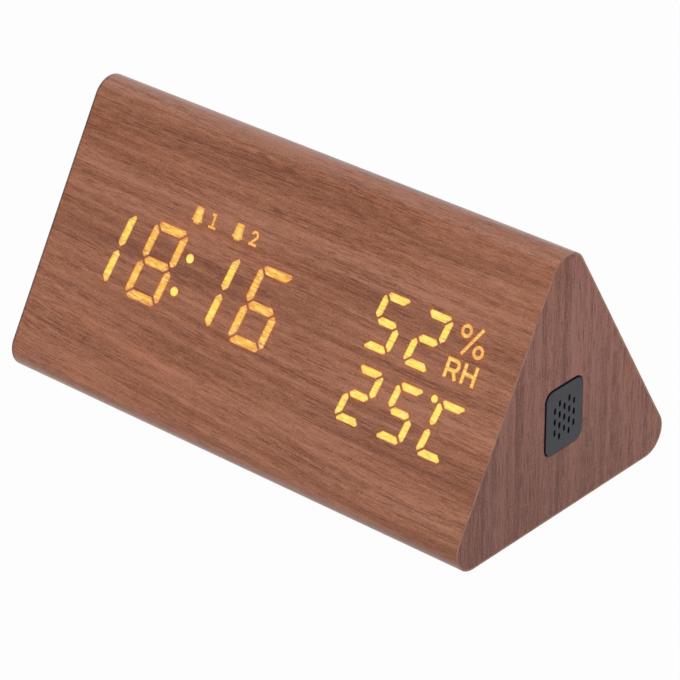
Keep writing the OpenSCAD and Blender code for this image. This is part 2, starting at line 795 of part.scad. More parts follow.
module plain_signs_outline() {
    colon_outline();
    alarm_outline(0);
    alarm_outline(1);
    humidity_sign_outline();
    degree_outline();
}

module display_rect(grow_u, grow_v) {
    translate([display_u, display_v]) square([display_l + 2 * grow_u, display_w + 2 * grow_v], center = true);
}

// Resin that carries the light from the LED chips out to the face of the film
module lit_resin() {
    color(amber_color) on_front() translate([0, 0, resin_floor]) linear_extrude(-resin_floor) children();
}

// Shell

module wood_film() {
    color(film_color) difference() {
        along_body(body_l) difference() {
            polygon(section_outline(0));
            polygon(section_outline(film_t));
        }
        on_front() translate([0, 0, -film_t - cut]) linear_extrude(film_t + 2 * cut) {
            for (digit = digits) digit_outline(digit, digit[3]);
            plain_signs_outline();
        }
        on_back() translate([0, 0, -film_t - cut]) {
            button_bores(film_t + 2 * cut);
            jack_bore(film_t + 2 * cut);
        }
        translate([0, 0, foot_h - cut]) linear_extrude(film_t + 2 * cut)
            polygon(rounded_rect(flange_l + 2 * fit_gap, flange_w + 2 * fit_gap, flange_r + fit_gap));
    }
}

module front_board() {
    color(board_color) difference() {
        along_body(board_l) polygon(board_outline(ridge_corner));
        on_front() translate([0, 0, -skin_t - cut]) linear_extrude(board_t + 2 * cut) display_rect(0, 0);
        on_front() at_display_screws() translate([0, 0, -pcb_t - cut])
            cylinder(d = screw_d + 2 * pin_gap, h = screw_l + cut + pin_gap);
    }
}

module back_board() {
    color(board_color) difference() {
        along_body(board_l) polygon(board_outline(back_corner));
        on_back() translate([0, 0, -skin_t - cut]) {
            button_bores(board_t + 2 * cut);
            jack_bore(board_t + 2 * cut);
        }
        on_back() at_spacers() translate([0, 0, -skin_t - cut])
            cylinder(d = screw_d + 2 * pin_gap, h = spacer_screw_grip + cut + pin_gap);
    }
}

module base_board() {
    color(board_color) difference() {
        along_body(board_l) polygon(board_outline(front_corner));
        box_at(0, 0, foot_h, tray_l + 2 * fit_gap, tray_w + 2 * fit_gap, skin_t + cut);
        translate([0, 0, foot_h]) linear_extrude(flange_t)
            polygon(rounded_rect(flange_l + 2 * fit_gap, flange_w + 2 * fit_gap, flange_r + fit_gap));
        at_tray_screws() cylinder(d = tray_screw_d + 2 * pin_gap, h = tray_screw_l + pin_gap);
    }
}

module end_panel() {
    linear_extrude(end_t) polygon([for (p = section_outline(film_t)) [p.x, p.y - foot_h]]);
}

module left_end_panel() {
    color(film_color) translate([end_t - body_l, 0, 0]) on_right_end() translate([0, 0, -end_t]) end_panel();
}

module right_end_panel() {
    color(film_color) on_right_end() difference() {
        translate([0, 0, -end_t]) end_panel();
        translate([-grille_off, grille_z + grille_off, -end_t - cut]) linear_extrude(end_t + 2 * cut)
            polygon(rounded_rect(grille_w, grille_h, grille_r));
    }
}

module rubber_feet() {
    color(rubber_color)
        for (side_x = [-1, 1], side_y = [-1, 1])
            translate([side_x * (body_l / 2 - foot_end_inset), side_y * foot_span / 2, 0])
                cylinder(d = foot_d, h = foot_h);
}

// Air sensor

module slot_outlines() {
    last_column = len(slot_columns) - 1;
    for (column = [0 : last_column])
        for (row = [0 : slot_columns[column] - 1])
            translate([
                (column - last_column / 2) * slot_column_pitch,
                (row - (slot_columns[column] - 1) / 2) * slot_row_pitch
            ]) polygon(rounded_rect(slot_w, slot_h, slot_w / 2));
}

module sensor_grille() {
    color(plastic_color) on_right_end() translate([0, grille_z, 0]) {
        difference() {
            union() {
                translate([0, 0, -end_t - cut]) linear_extrude(end_t + cut - grille_recess)
                    polygon(rounded_rect(grille_body_w, grille_body_h, grille_body_r));
                translate([0, 0, -end_t - grille_flange_t]) linear_extrude(grille_flange_t)
                    polygon(rounded_rect(sensor_board_w, sensor_board_h, grille_body_r));
            }
            translate([0, 0, -end_t - grille_flange_t - cut])
                linear_extrude(end_t + grille_flange_t + cut - grille_recess - grille_plate_t)
                polygon(rounded_rect(
                    grille_body_w - 2 * grille_wall, grille_body_h - 2 * grille_wall,
                    grille_body_r - grille_wall
                ));
            translate([0, 0, -end_t]) linear_extrude(end_t + cut) slot_outlines();
        }
        at_sensor_posts() cylinder(d = sensor_post_d, h = sensor_board_t + sensor_post_proud + cut);
    }
}

// Places of the sensor posts, with +Z pointing into the body from inside the flange
module at_sensor_posts() {
    for (side = [-1, 1])
        translate([0, side * sensor_post_z, -end_t - grille_flange_t + cut]) rotate([180, 0, 0]) children();
}

module sensor_board() {
    color(pcb_color) on_right_end() translate([0, grille_z, 0]) difference() {
        translate([0, 0, -end_t - grille_flange_t - sensor_board_t]) linear_extrude(sensor_board_t)
            polygon(rounded_rect(sensor_board_w, sensor_board_h, grille_body_r));
        at_sensor_posts() cylinder(d = sensor_post_d + 2 * pin_gap, h = sensor_board_t + 2 * cut);
    }
}

module humidity_sensor() {
    color(white_color) on_right_end() translate([0, grille_z, -end_t - grille_flange_t])
        box_at(0, 0, 0, sensor_w, sensor_w, sensor_h);
}

// Display

module at_display_screws() {
    for (side_u = [-1, 1], side_v = [-1, 1])
        translate([display_u + side_u * display_screw_u, display_v + side_v * display_screw_v, -skin_t])
            children();
}

module display_reflector() {
    color(white_color) on_front() translate([0, 0, -skin_t]) linear_extrude(board_t) difference() {
        display_rect(-fit_gap, -fit_gap);
        for (digit = digits) digit_outline(digit, all_letters);
        plain_signs_outline();
    }
}

module display_board() {
    color(pcb_color) on_front() difference() {
        translate([0, 0, -skin_t - pcb_t]) linear_extrude(pcb_t) display_rect(display_lap_u, display_lap_v);
        at_display_screws() translate([0, 0, -pcb_t - cut])
            cylinder(d = screw_d + 2 * pin_gap, h = pcb_t + 2 * cut);
    }
}

module led_chip(u, v, turn) {
    translate([u, v]) rotate(turn) box_at(0, 0, 0, led_l, led_w, led_h);
}

module led_chips() {
    numeral_foot = alarm_v - numeral_h / 2 + numeral_stroke / 2;
    color(white_color) on_front() translate([0, 0, -skin_t]) {
        for (digit = digits)
            for (i = [0 : len(all_letters) - 1])
                let (middle = segment_middle(all_letters[i], digit.z))
                led_chip(
                    digit.x + middle.x, digit.y + middle.y,
                    segment_side_x(all_letters[i]) == 0 ? 0 : 90 - digit_slant
                );
        for (side = [-1, 1])
            led_chip(time_x + side * lean * colon_span / 2, time_v + side * colon_span / 2, 0);
        for (index = [0, 1]) {
            led_chip(alarm_x + index * alarm_pitch, alarm_v, 0);
            led_chip(alarm_x + index * alarm_pitch + alarm_numeral_dx, numeral_foot, 0);
        }
        for (ring = percent_rings)
            led_chip(percent_x + ring.x, percent_v + ring.y + percent_ring_r, 0);
        led_chip(percent_x, percent_v, atan2(percent_slash.y, percent_slash.x));
        led_chip(letters_x - letters_pitch / 2 - letters_w / 2, letters_v, 90);
        led_chip(letters_x + letters_pitch / 2, letters_v, 0);
        led_chip(temperature_letter.x + degree_dx, temperature_letter.y + degree_dv, 0);
    }
}

module display_driver() {
    color(chip_color) on_front()
        box_at(display_u, driver_v, -skin_t - pcb_t - driver_h, driver_l, driver_w, driver_h);
}

module unlit_segments() {
    color(resin_color) on_front() translate([0, 0, resin_floor]) linear_extrude(-film_t - resin_floor)
        for (digit = digits)
            if (len(unlit_letters(digit[3])) > 0) digit_outline(digit, unlit_letters(digit[3]));
}

module lit_digit(digit) {
    lit_resin() digit_outline(digit, digit[3]);
}

module time_colon() {
    lit_resin() colon_outline();
}

module alarm_icon(index) {
    lit_resin() alarm_outline(index);
}

module humidity_sign() {
    lit_resin() humidity_sign_outline();
}

module temperature_sign() {
    lit_resin() {
        digit_outline(temperature_letter, temperature_letter[3]);
        degree_outline();
    }
}

// Battery tray and door

module at_tray_screws() {
    for (side_x = [-1, 1], side_y = [-1, 1])
        translate([side_x * tray_screw_x, side_y * tray_screw_y, foot_h]) children();
}

module at_bosses() {
    for (side_x = [-1, 1], side_y = [-1, 1])
        translate([side_x * boss_x, side_y * boss_y, main_top]) children();
}

// A countersunk head and its shank, both grown by the gap
module countersunk(gap) {
    head_r = tray_screw_head_d / 2 + gap;
    shank_r = tray_screw_d / 2 + gap;
    rotate_extrude()
        polygon([[0, 0], [head_r, 0], [shank_r, head_r - shank_r], [shank_r, tray_screw_l], [0, tray_screw_l]]);
}

module tray_screws() {
    color(steel_color) at_tray_screws() difference() {
        countersunk(0);
        screw_cross();
    }
}

module battery_tray() {
    recess_l = door_l + 2 * door_gap;
    recess_w = door_w + 2 * door_gap;
    color(plastic_color) difference() {
        union() {
            translate([0, 0, foot_h]) linear_extrude(flange_t)
                polygon(rounded_rect(flange_l, flange_w, flange_r));
            box_at(0, 0, foot_h, tray_l, tray_w, tray_top - foot_h);
            at_bosses() translate([0, 0, -pcb_t - boss_h - tray_roof_t])
                cylinder(d = boss_d, h = boss_h + tray_roof_t);
        }
        box_at(0, 0, foot_h, cavity_l, cavity_w, roof_z - foot_h);
        box_at(0, 0, foot_h - cut, recess_l, recess_w, flange_t + cut);
        box_at(
            0, -recess_w / 2, foot_h - cut,
            scoop_w, 2 * scoop_reach, scoop_depth + cut
        );
        translate([0, hinge_y, hinge_z]) rotate([0, 90, 0])
            cylinder(d = hinge_pin_d + 2 * pin_gap, h = door_l + 2 * (hinge_pin_l + door_gap), center = true);
        at_tray_screws() countersunk(pin_gap);
        at_bosses() translate([0, 0, -screw_l - pin_gap])
            cylinder(d = screw_d + 2 * pin_gap, h = screw_l + pin_gap);
        for (side = [-1, 1])
            box_at(
                -cavity_l / 2 + contact_t / 2, side * first_cell_y, roof_z - cut,
                contact_t + 2 * pin_gap, tab_w + 2 * pin_gap, tray_roof_t + 2 * cut
            );
    }
}

module battery_door() {
    groove_pitch = 2 * groove_w;
    section = concat(
        [[-door_w / 2, foot_h + door_t], [-door_w / 2, foot_h]],
        [for (i = [0 : 2 * small_arc_steps])
            let (turn = -90 + 180 * i / (2 * small_arc_steps))
            [hinge_y + door_t / 2 * cos(turn), hinge_z + door_t / 2 * sin(turn)]]
    );
    color(plastic_color) difference() {
        union() {
            along_body(door_l) polygon(section);
            translate([0, hinge_y, hinge_z]) rotate([0, 90, 0])
                cylinder(d = hinge_pin_d, h = door_l + 2 * hinge_pin_l, center = true);
        }
        for (i = [1 : groove_count])
            box_at(
                0, -door_w / 2 + (i + 1) * groove_pitch, foot_h - cut,
                groove_l, groove_w, groove_depth + cut
            );
    }
}

// Cells 1 and 3 have their tips at the left end of the tray, 2 and 4 at the right end
function cell_turn(index) = index % 2 == 0 ? 0 : 180;
function cell_y(index) = first_cell_y + index * cell_pitch;

module at_cell(index) {
    translate([0, cell_y(index), cell_z]) rotate(cell_turn(index)) children();
}

module aaa_cell(index) {
    color(sleeve_color) at_cell(index)
        translate([-cavity_l / 2 + contact_t + cell_play / 2, 0, 0]) rotate([0, 90, 0]) {
            cylinder(d = cell_tip_d, h = cell_l / 2);
            translate([0, 0, cell_tip_l]) cylinder(d = cell_d, h = cell_l - cell_tip_l);
        }
}

// A flat strip at the tip of a cell, at the tray's end wall
module flat_contact() {
    translate([-cavity_l / 2, -bow_span / 2, -contact_h / 2]) cube([contact_t, bow_span, contact_h]);
}

// A bowed strip at the flat end of a cell, with its peak against the cell
module bow_contact() {
    peak_half = bow_peak_share * bow_span;
    translate([cavity_l / 2, 0, -contact_h / 2]) linear_extrude(contact_h) difference() {
        polygon([
            [0, -bow_span / 2], [0, bow_span / 2], [-contact_t, bow_span / 2],
            [-contact_t - bow_h + cell_play / 2, peak_half], [-contact_t - bow_h + cell_play / 2, -peak_half],
            [-contact_t, -bow_span / 2]
        ]);
        polygon([
            [-contact_t, -bow_span / 2 + 2 * contact_t], [-contact_t, bow_span / 2 - 2 * contact_t],
            [-bow_h + cell_play / 2, peak_half / 2], [-bow_h + cell_play / 2, -peak_half / 2]
        ]);
    }
}

// A strip that joins the contacts of two neighbouring cells
module bridge_contact(index) {
    flip = cell_turn(index);
    at_cell(index) bow_contact();
    at_cell(index + 1) flat_contact();
    translate([0, (cell_y(index) + cell_y(index + 1)) / 2, cell_z]) rotate(flip)
        translate([cavity_l / 2 - contact_t, -cell_pitch / 2, -contact_h / 2])
            cube([contact_t, cell_pitch, contact_h]);
}

module solder_tab(index) {
    box_at(
        -cavity_l / 2 + contact_t / 2, cell_y(index), cell_z,
        contact_t, tab_w, tray_top + tab_proud - cell_z
    );
}

module positive_terminal() {
    color(steel_color) {
        at_cell(0) flat_contact();
        solder_tab(0);
    }
}

module negative_terminal() {
    color(steel_color) {
        at_cell(cell_count - 1) bow_contact();
        solder_tab(cell_count - 1);
    }
}

module bridge_contacts() {
    color(steel_color) for (index = [0 : cell_count - 2]) bridge_contact(index);
}

// Main board

module board_screw() {
    difference() {
        union() {
            translate([0, 0, -screw_l]) cylinder(d = screw_d, h = screw_l + cut);
            cylinder(d = screw_head_d, h = screw_head_h);
        }
        translate([0, 0, screw_head_h]) screw_cross();
    }
}

module board_screws() {
    color(steel_color) {
        at_bosses() board_screw();
        on_front() at_display_screws() translate([0, 0, -pcb_t]) rotate([180, 0, 0]) board_screw();
    }
}

module main_board() {
    color(pcb_color) difference() {
        box_at(0, 0, main_z, main_l, main_w, pcb_t);
        at_bosses() translate([0, 0, -pcb_t - cut]) cylinder(d = screw_d + 2 * pin_gap, h = pcb_t + 2 * cut);
    }
}

module clock_chip() {
    color(chip_color) box_at(chip_x, chip_y, main_top, chip_w, chip_w, chip_h);
}

module crystal() {
    color(steel_color) translate([chip_x - crystal_l / 2, crystal_y, main_top + crystal_d / 2 + pin_gap])
        rotate([0, 90, 0]) cylinder(d = crystal_d, h = crystal_l);
}

module buzzer() {
    color(chip_color) translate([buzzer_x, 0, main_top]) difference() {
        cylinder(d = buzzer_d, h = buzzer_h);
        translate([0, 0, buzzer_h - buzzer_hole_depth])
            cylinder(d = buzzer_hole_d, h = buzzer_hole_depth + cut);
    }
}

// Buttons

module at_button(index) {
    translate([(index - (button_count - 1) / 2) * button_pitch, button_v, 0]) children();
}

module button_bores(l) {
    for (index = [0 : button_count - 1]) at_button(index) cylinder(d = button_d + 2 * button_gap, h = l);
}

module at_spacers() {
    for (side_u = [-1, 1], side_v = [-1, 1])
        translate([side_u * spacer_u, button_v + side_v * spacer_v, 0]) children();
}

module button_cap(index) {
    cap_r = button_d / 2;
    rim_r = cap_r + button_flange;
    color(plastic_color) on_back() at_button(index) difference() {
        rotate_extrude() polygon([
            [0, button_bottom], [rim_r, button_bottom], [rim_r, button_flange_top], [cap_r, button_flange_top],
            [cap_r, button_proud - button_bevel], [cap_r - button_bevel, button_proud], [0, button_proud]
        ]);
        translate([0, 0, button_proud - button_mark_depth]) linear_extrude(button_mark_depth + cut) children();
    }
}

module set_button() {
    button_cap(0) difference() {
        circle(d = button_mark);
        circle(d = button_mark / 2);
    }
}

module up_button() {
    button_cap(1) rotate(90) circle(d = button_mark, $fn = mark_sides);
}

module down_button() {
    button_cap(2) rotate(-90) circle(d = button_mark, $fn = mark_sides);
}

module switch_plunger(index) {
    color(chip_color) on_back() at_button(index) translate([0, 0, button_bottom - plunger_l])
        cylinder(d = plunger_d, h = plunger_l);
}

module tact_switches() {
    bore_l = plunger_l - plunger_proud + button_travel + plunger_spare;
    color(chip_color) on_back() for (index = [0 : button_count - 1]) at_button(index) difference() {
        box_at(0, 0, switch_floor, switch_w, switch_w, switch_h);
        translate([0, 0, switch_top - bore_l]) cylinder(d = plunger_d + 2 * pin_gap, h = bore_l + cut);
    }
}

module button_board() {
    color(pcb_color) on_back() difference() {
        box_at(0, button_v, switch_floor - pcb_t, button_board_l, button_board_w, pcb_t);
        at_spacers() translate([0, 0, switch_floor - pcb_t - cut])
            cylinder(d = screw_d + 2 * pin_gap, h = pcb_t + 2 * cut);
    }
}

module button_spacers() {
    color(white_color) on_back() at_spacers() translate([0, 0, switch_floor]) difference() {
        cylinder(d = spacer_d, h = spacer_l);
        translate([0, 0, -cut]) cylinder(d = screw_d + 2 * pin_gap, h = spacer_l + 2 * cut);
    }
}

module spacer_screws() {
    color(steel_color) on_back() at_spacers() translate([0, 0, switch_floor - pcb_t]) difference() {
        union() {
            cylinder(d = screw_d, h = spacer_screw_l);
            translate([0, 0, -screw_head_h]) cylinder(d = screw_head_d, h = screw_head_h);
        }
        translate([0, 0, -screw_head_h]) screw_cross();
    }
}

// Power socket

module at_jack() {
    translate([jack_u, jack_v, 0]) children();
}

module jack_bore(l) {
    at_jack() cylinder(d = jack_barrel_d + 2 * fit_gap, h = l);
}

module power_jack() {
    color(chip_color) on_back() at_jack() {
        difference() {
            union() {
                cylinder(d = jack_flange_d, h = jack_flange_t);
                translate([0, 0, -jack_barrel_l])
                    cylinder(d = jack_barrel_d, h = jack_barrel_l + jack_flange_t / 2);
            }
            translate([0, 0, jack_flange_t - jack_bore_l]) cylinder(d = jack_bore_d, h = jack_bore_l + cut);
        }
        translate([0, 0, jack_flange_t - jack_bore_l - cut])
            cylinder(d = jack_pin_d, h = jack_bore_l + cut - jack_pin_recess);
    }
}

module jack_nut() {
    color(steel_color) on_back() at_jack() translate([0, 0, -skin_t - nut_t]) difference() {
        cylinder(d = nut_flats / cos(180 / nut_sides), h = nut_t, $fn = nut_sides);
        translate([0, 0, -cut]) cylinder(d = jack_barrel_d + 2 * pin_gap, h = nut_t + 2 * cut);
    }
}

// Leads: each follows a curve with four control points, which leaves both ends straight

function curve_point(c, t) =
    pow(1 - t, 3) * c[0] + 3 * t * pow(1 - t, 2) * c[1] + 3 * t * t * (1 - t) * c[2] + pow(t, 3) * c[3];
function curve_way(c, t) =
    let (way = pow(1 - t, 2) * (c[1] - c[0]) + 2 * t * (1 - t) * (c[2] - c[1]) + t * t * (c[3] - c[2]))
    way / norm(way);

module wire(curve, spread) {
    points = [
        for (i = [0 : wire_rings])
            let (
                way = curve_way(curve, i / wire_rings),
                level = spread - (spread * way) * way,
                side = level / norm(level),
                up = cross(way, side)
            )
            for (j = [0 : wire_sides - 1])
                curve_point(curve, i / wire_rings)
                    + wire_d / 2 * (cos(360 * j / wire_sides) * side + sin(360 * j / wire_sides) * up)
    ];
    walls = [
        for (i = [0 : wire_rings - 1], j = [0 : wire_sides - 1])
            let (here = i * wire_sides, next = here + wire_sides, k = (j + 1) % wire_sides)
            each [[here + j, next + j, next + k], [here + j, next + k, here + k]]
    ];
    ends = [
        [for (j = [0 : wire_sides - 1]) j],
        [for (j = [wire_sides - 1 : -1 : 0]) wire_rings * wire_sides + j]
    ];
    polyhedron(points, concat(walls, ends));
}

// Wires side by side from one point to a point on the main board
module lead(start, start_way, end, spread, count, pitch = wire_pitch) {
    for (i = [0 : count - 1])
        let (
            shift = (i - (count - 1) / 2) * pitch * spread,
            first = start + shift,
            last = end + shift
        )
        wire([first, first + lead_reach * start_way, last + [0, 0, lead_drop], last], spread);
}

module battery_lead() {
    color(red_color) for (side = [-1, 1])
        lead(
            [-cavity_l / 2 + contact_t / 2, side * first_cell_y, tray_top + tab_proud], [0, 0, 1],
            [-main_l / 2 + lead_inset, side * first_cell_y / 2, main_top], [0, 1, 0], 1
        );
}

module power_lead() {
    color(red_color) lead(
        back_point(jack_u, jack_v, -jack_barrel_l), back_inward,
        [-main_l / 2 + lead_inset, 0, main_top], [1, 0, 0], 2, power_wire_pitch
    );
}

module sensor_lead() {
    color(grey_color) lead(
        [body_l / 2 - end_t - grille_flange_t - sensor_board_t, 0, foot_h + grille_z], [-1, 0, 0],
        [main_l / 2 - lead_inset, 0, main_top], [0, 1, 0], 3
    );
}

module display_lead() {
    color(grey_color) lead(
        front_point(0, display_lead_v, -skin_t - pcb_t), front_inward,
        [0, -main_w / 2 + lead_inset, main_top], [1, 0, 0], 5
    );
}

module button_lead() {
    color(grey_color) lead(
        back_point(0, button_lead_v, switch_floor - pcb_t), back_inward,
        [0, main_w / 2 - lead_inset, main_top], [1, 0, 0], 4
    );
}

wood_film();
front_board();
back_board();
base_board();
left_end_panel();
right_end_panel();
rubber_feet();
sensor_grille();
sensor_board();
humidity_sensor();
display_reflector();
display_board();
led_chips();
display_driver();
unlit_segments();
lit_digit(hour_tens);
lit_digit(hour_units);
time_colon();
lit_digit(minute_tens);
lit_digit(minute_units);
alarm_icon(0);  // alarm_one
alarm_icon(1);  // alarm_two
lit_digit(humidity_tens);
lit_digit(humidity_units);
humidity_sign();
lit_digit(temperature_tens);
lit_digit(temperature_units);
temperature_sign();
battery_tray();
tray_screws();
battery_door();
aaa_cell(0);  // aaa_cell_1
aaa_cell(1);  // aaa_cell_2
aaa_cell(2);  // aaa_cell_3
aaa_cell(3);  // aaa_cell_4
positive_terminal();
negative_terminal();
bridge_contacts();
main_board();
clock_chip();
crystal();
buzzer();
board_screws();
button_board();
button_spacers();
spacer_screws();
tact_switches();
set_button();
up_button();
down_button();
switch_plunger(0);  // set_plunger
switch_plunger(1);  // up_plunger
switch_plunger(2);  // down_plunger
power_jack();
jack_nut();
battery_lead();
power_lead();
sensor_lead();
display_lead();
button_lead();
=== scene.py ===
"""Looks of a digital alarm clock with a triangular wood-grain body, dressed over its CAD frame."""

import logging
import math
from collections import Counter
from collections.abc import Callable, Iterable, Iterator, Sequence
from dataclasses import dataclass, field
from enum import Enum

import bmesh
import bpy
from mathutils import Matrix, Vector
from mathutils.geometry import delaunay_2d_cdt

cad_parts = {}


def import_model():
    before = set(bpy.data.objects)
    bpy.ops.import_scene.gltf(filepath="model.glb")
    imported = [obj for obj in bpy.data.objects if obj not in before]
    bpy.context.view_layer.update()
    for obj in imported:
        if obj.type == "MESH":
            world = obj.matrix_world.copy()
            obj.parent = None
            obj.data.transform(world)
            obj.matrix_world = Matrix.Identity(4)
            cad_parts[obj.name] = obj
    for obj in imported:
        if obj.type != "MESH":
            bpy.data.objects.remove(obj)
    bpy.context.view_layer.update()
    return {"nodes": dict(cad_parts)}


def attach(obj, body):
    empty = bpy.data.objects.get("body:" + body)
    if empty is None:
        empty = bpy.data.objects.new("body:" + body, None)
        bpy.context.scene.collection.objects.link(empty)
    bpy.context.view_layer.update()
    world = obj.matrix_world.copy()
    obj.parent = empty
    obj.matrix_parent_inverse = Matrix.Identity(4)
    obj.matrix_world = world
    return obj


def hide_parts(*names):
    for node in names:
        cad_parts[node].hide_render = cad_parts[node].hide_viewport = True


MM = 0.001
IMAGE_SIDE = 680
SENSOR_WIDTH = 36.0
SHEET_MAP = "sheet"
GLOW_MAP = "glow"
# Vertex layer that weights the painted glow round the lit windows
PAINTED_GLOW_LAYER = "halo"
EDGE_LAYER = "cut_edge"
ROOT_BODY = "clock_body"
WHITE = (1.0, 1.0, 1.0, 1.0)
# Cosine and sine of the angle at which the back face's outward direction rises from the level
OUT_COSINE, OUT_SINE = math.sqrt(0.75), 0.5
# Place across the body and height of the back face's middle, in millimetres
BACK_MIDDLE = (22.25, 39.538)
# Largest share of a side that a rounded corner takes up
CORNER_SHARE = 0.45
# Distance, in millimetres, below which points are taken as one when a shape is cut
CUT_TOLERANCE = 1e-5
# Distance, in metres, below which vertices are welded
WELD_DISTANCE = 1e-7
# Places on the back face, in millimetres along the body and up the face from its middle
BUTTON_PITCH, BUTTON_UP = 16.0, 8.0
JACK_X, JACK_UP = -48.0, -20.0

Point = tuple[float, float]
Triple = tuple[float, float, float]
Outline = list[Point]
Colour = tuple[float, float, float, float]

log = logging.getLogger("clock")


def srgb(red: int, green: int, blue: int) -> Colour:
    """Gives the linear colour of an sRGB value.

    Args:
        red, green, blue: Levels from 0 to 255.

    Returns:
        Linear red, green and blue with an alpha of 1.
    """

    def linear(level: int) -> float:
        """Linear share of one level."""
        share = level / 255
        return share / 12.92 if share <= 0.04045 else ((share + 0.055) / 1.055) ** 2.4

    return linear(red), linear(green), linear(blue), 1.0


# Node graphs


def math_operator(operation: str, swapped: bool = False) -> Callable[["Value", "Value | float"], "Value"]:
    """Makes an operator that adds a Math node.

    Args:
        operation: The node's operation.
        swapped: Whether the other term comes first, as in a reflected operator.

    Returns:
        The operator, as a method.
    """

    def apply(self: "Value", other: "Value | float") -> "Value":
        """Result of the operation on this value and another."""
        return self.graph.math(operation, *((other, self) if swapped else (self, other)))

    return apply


class Value:
    """A node's output socket. Operators on it add Math nodes, so they suit numbers only."""

    __add__, __radd__ = math_operator("ADD"), math_operator("ADD", swapped=True)
    __sub__, __rsub__ = math_operator("SUBTRACT"), math_operator("SUBTRACT", swapped=True)
    __mul__, __rmul__ = math_operator("MULTIPLY"), math_operator("MULTIPLY", swapped=True)
    __truediv__, __rtruediv__ = math_operator("DIVIDE"), math_operator("DIVIDE", swapped=True)

    def __init__(self, graph: "Graph", socket: bpy.types.NodeSocket) -> None:
        """Keeps the socket and the graph that it belongs to."""
        self.graph = graph
        self.socket = socket

    def __abs__(self) -> "Value":
        """Size without its sign."""
        return self.call("ABSOLUTE")

    def call(self, operation: str, *terms: "Value | float") -> "Value":
        """Any other Math operation with this value first."""
        return self.graph.math(operation, self, *terms)

    def clamped(self) -> "Value":
        """This value held between 0 and 1."""
        return self.graph.math("ADD", self, 0.0, clamp=True)

    def smooth(self, low: float, high: float) -> "Value":
        """A soft step from 0 at the low value to 1 at the high one."""
        inputs = {"Value": self, "From Min": low, "From Max": high}
        return self.graph.value("ShaderNodeMapRange", {"interpolation_type": "SMOOTHSTEP"}, inputs)


SocketInput = Value | float | int | bool | str | Sequence[float] | bpy.types.ID
Sockets = dict[str | int, SocketInput]
Settings = dict[str, object]


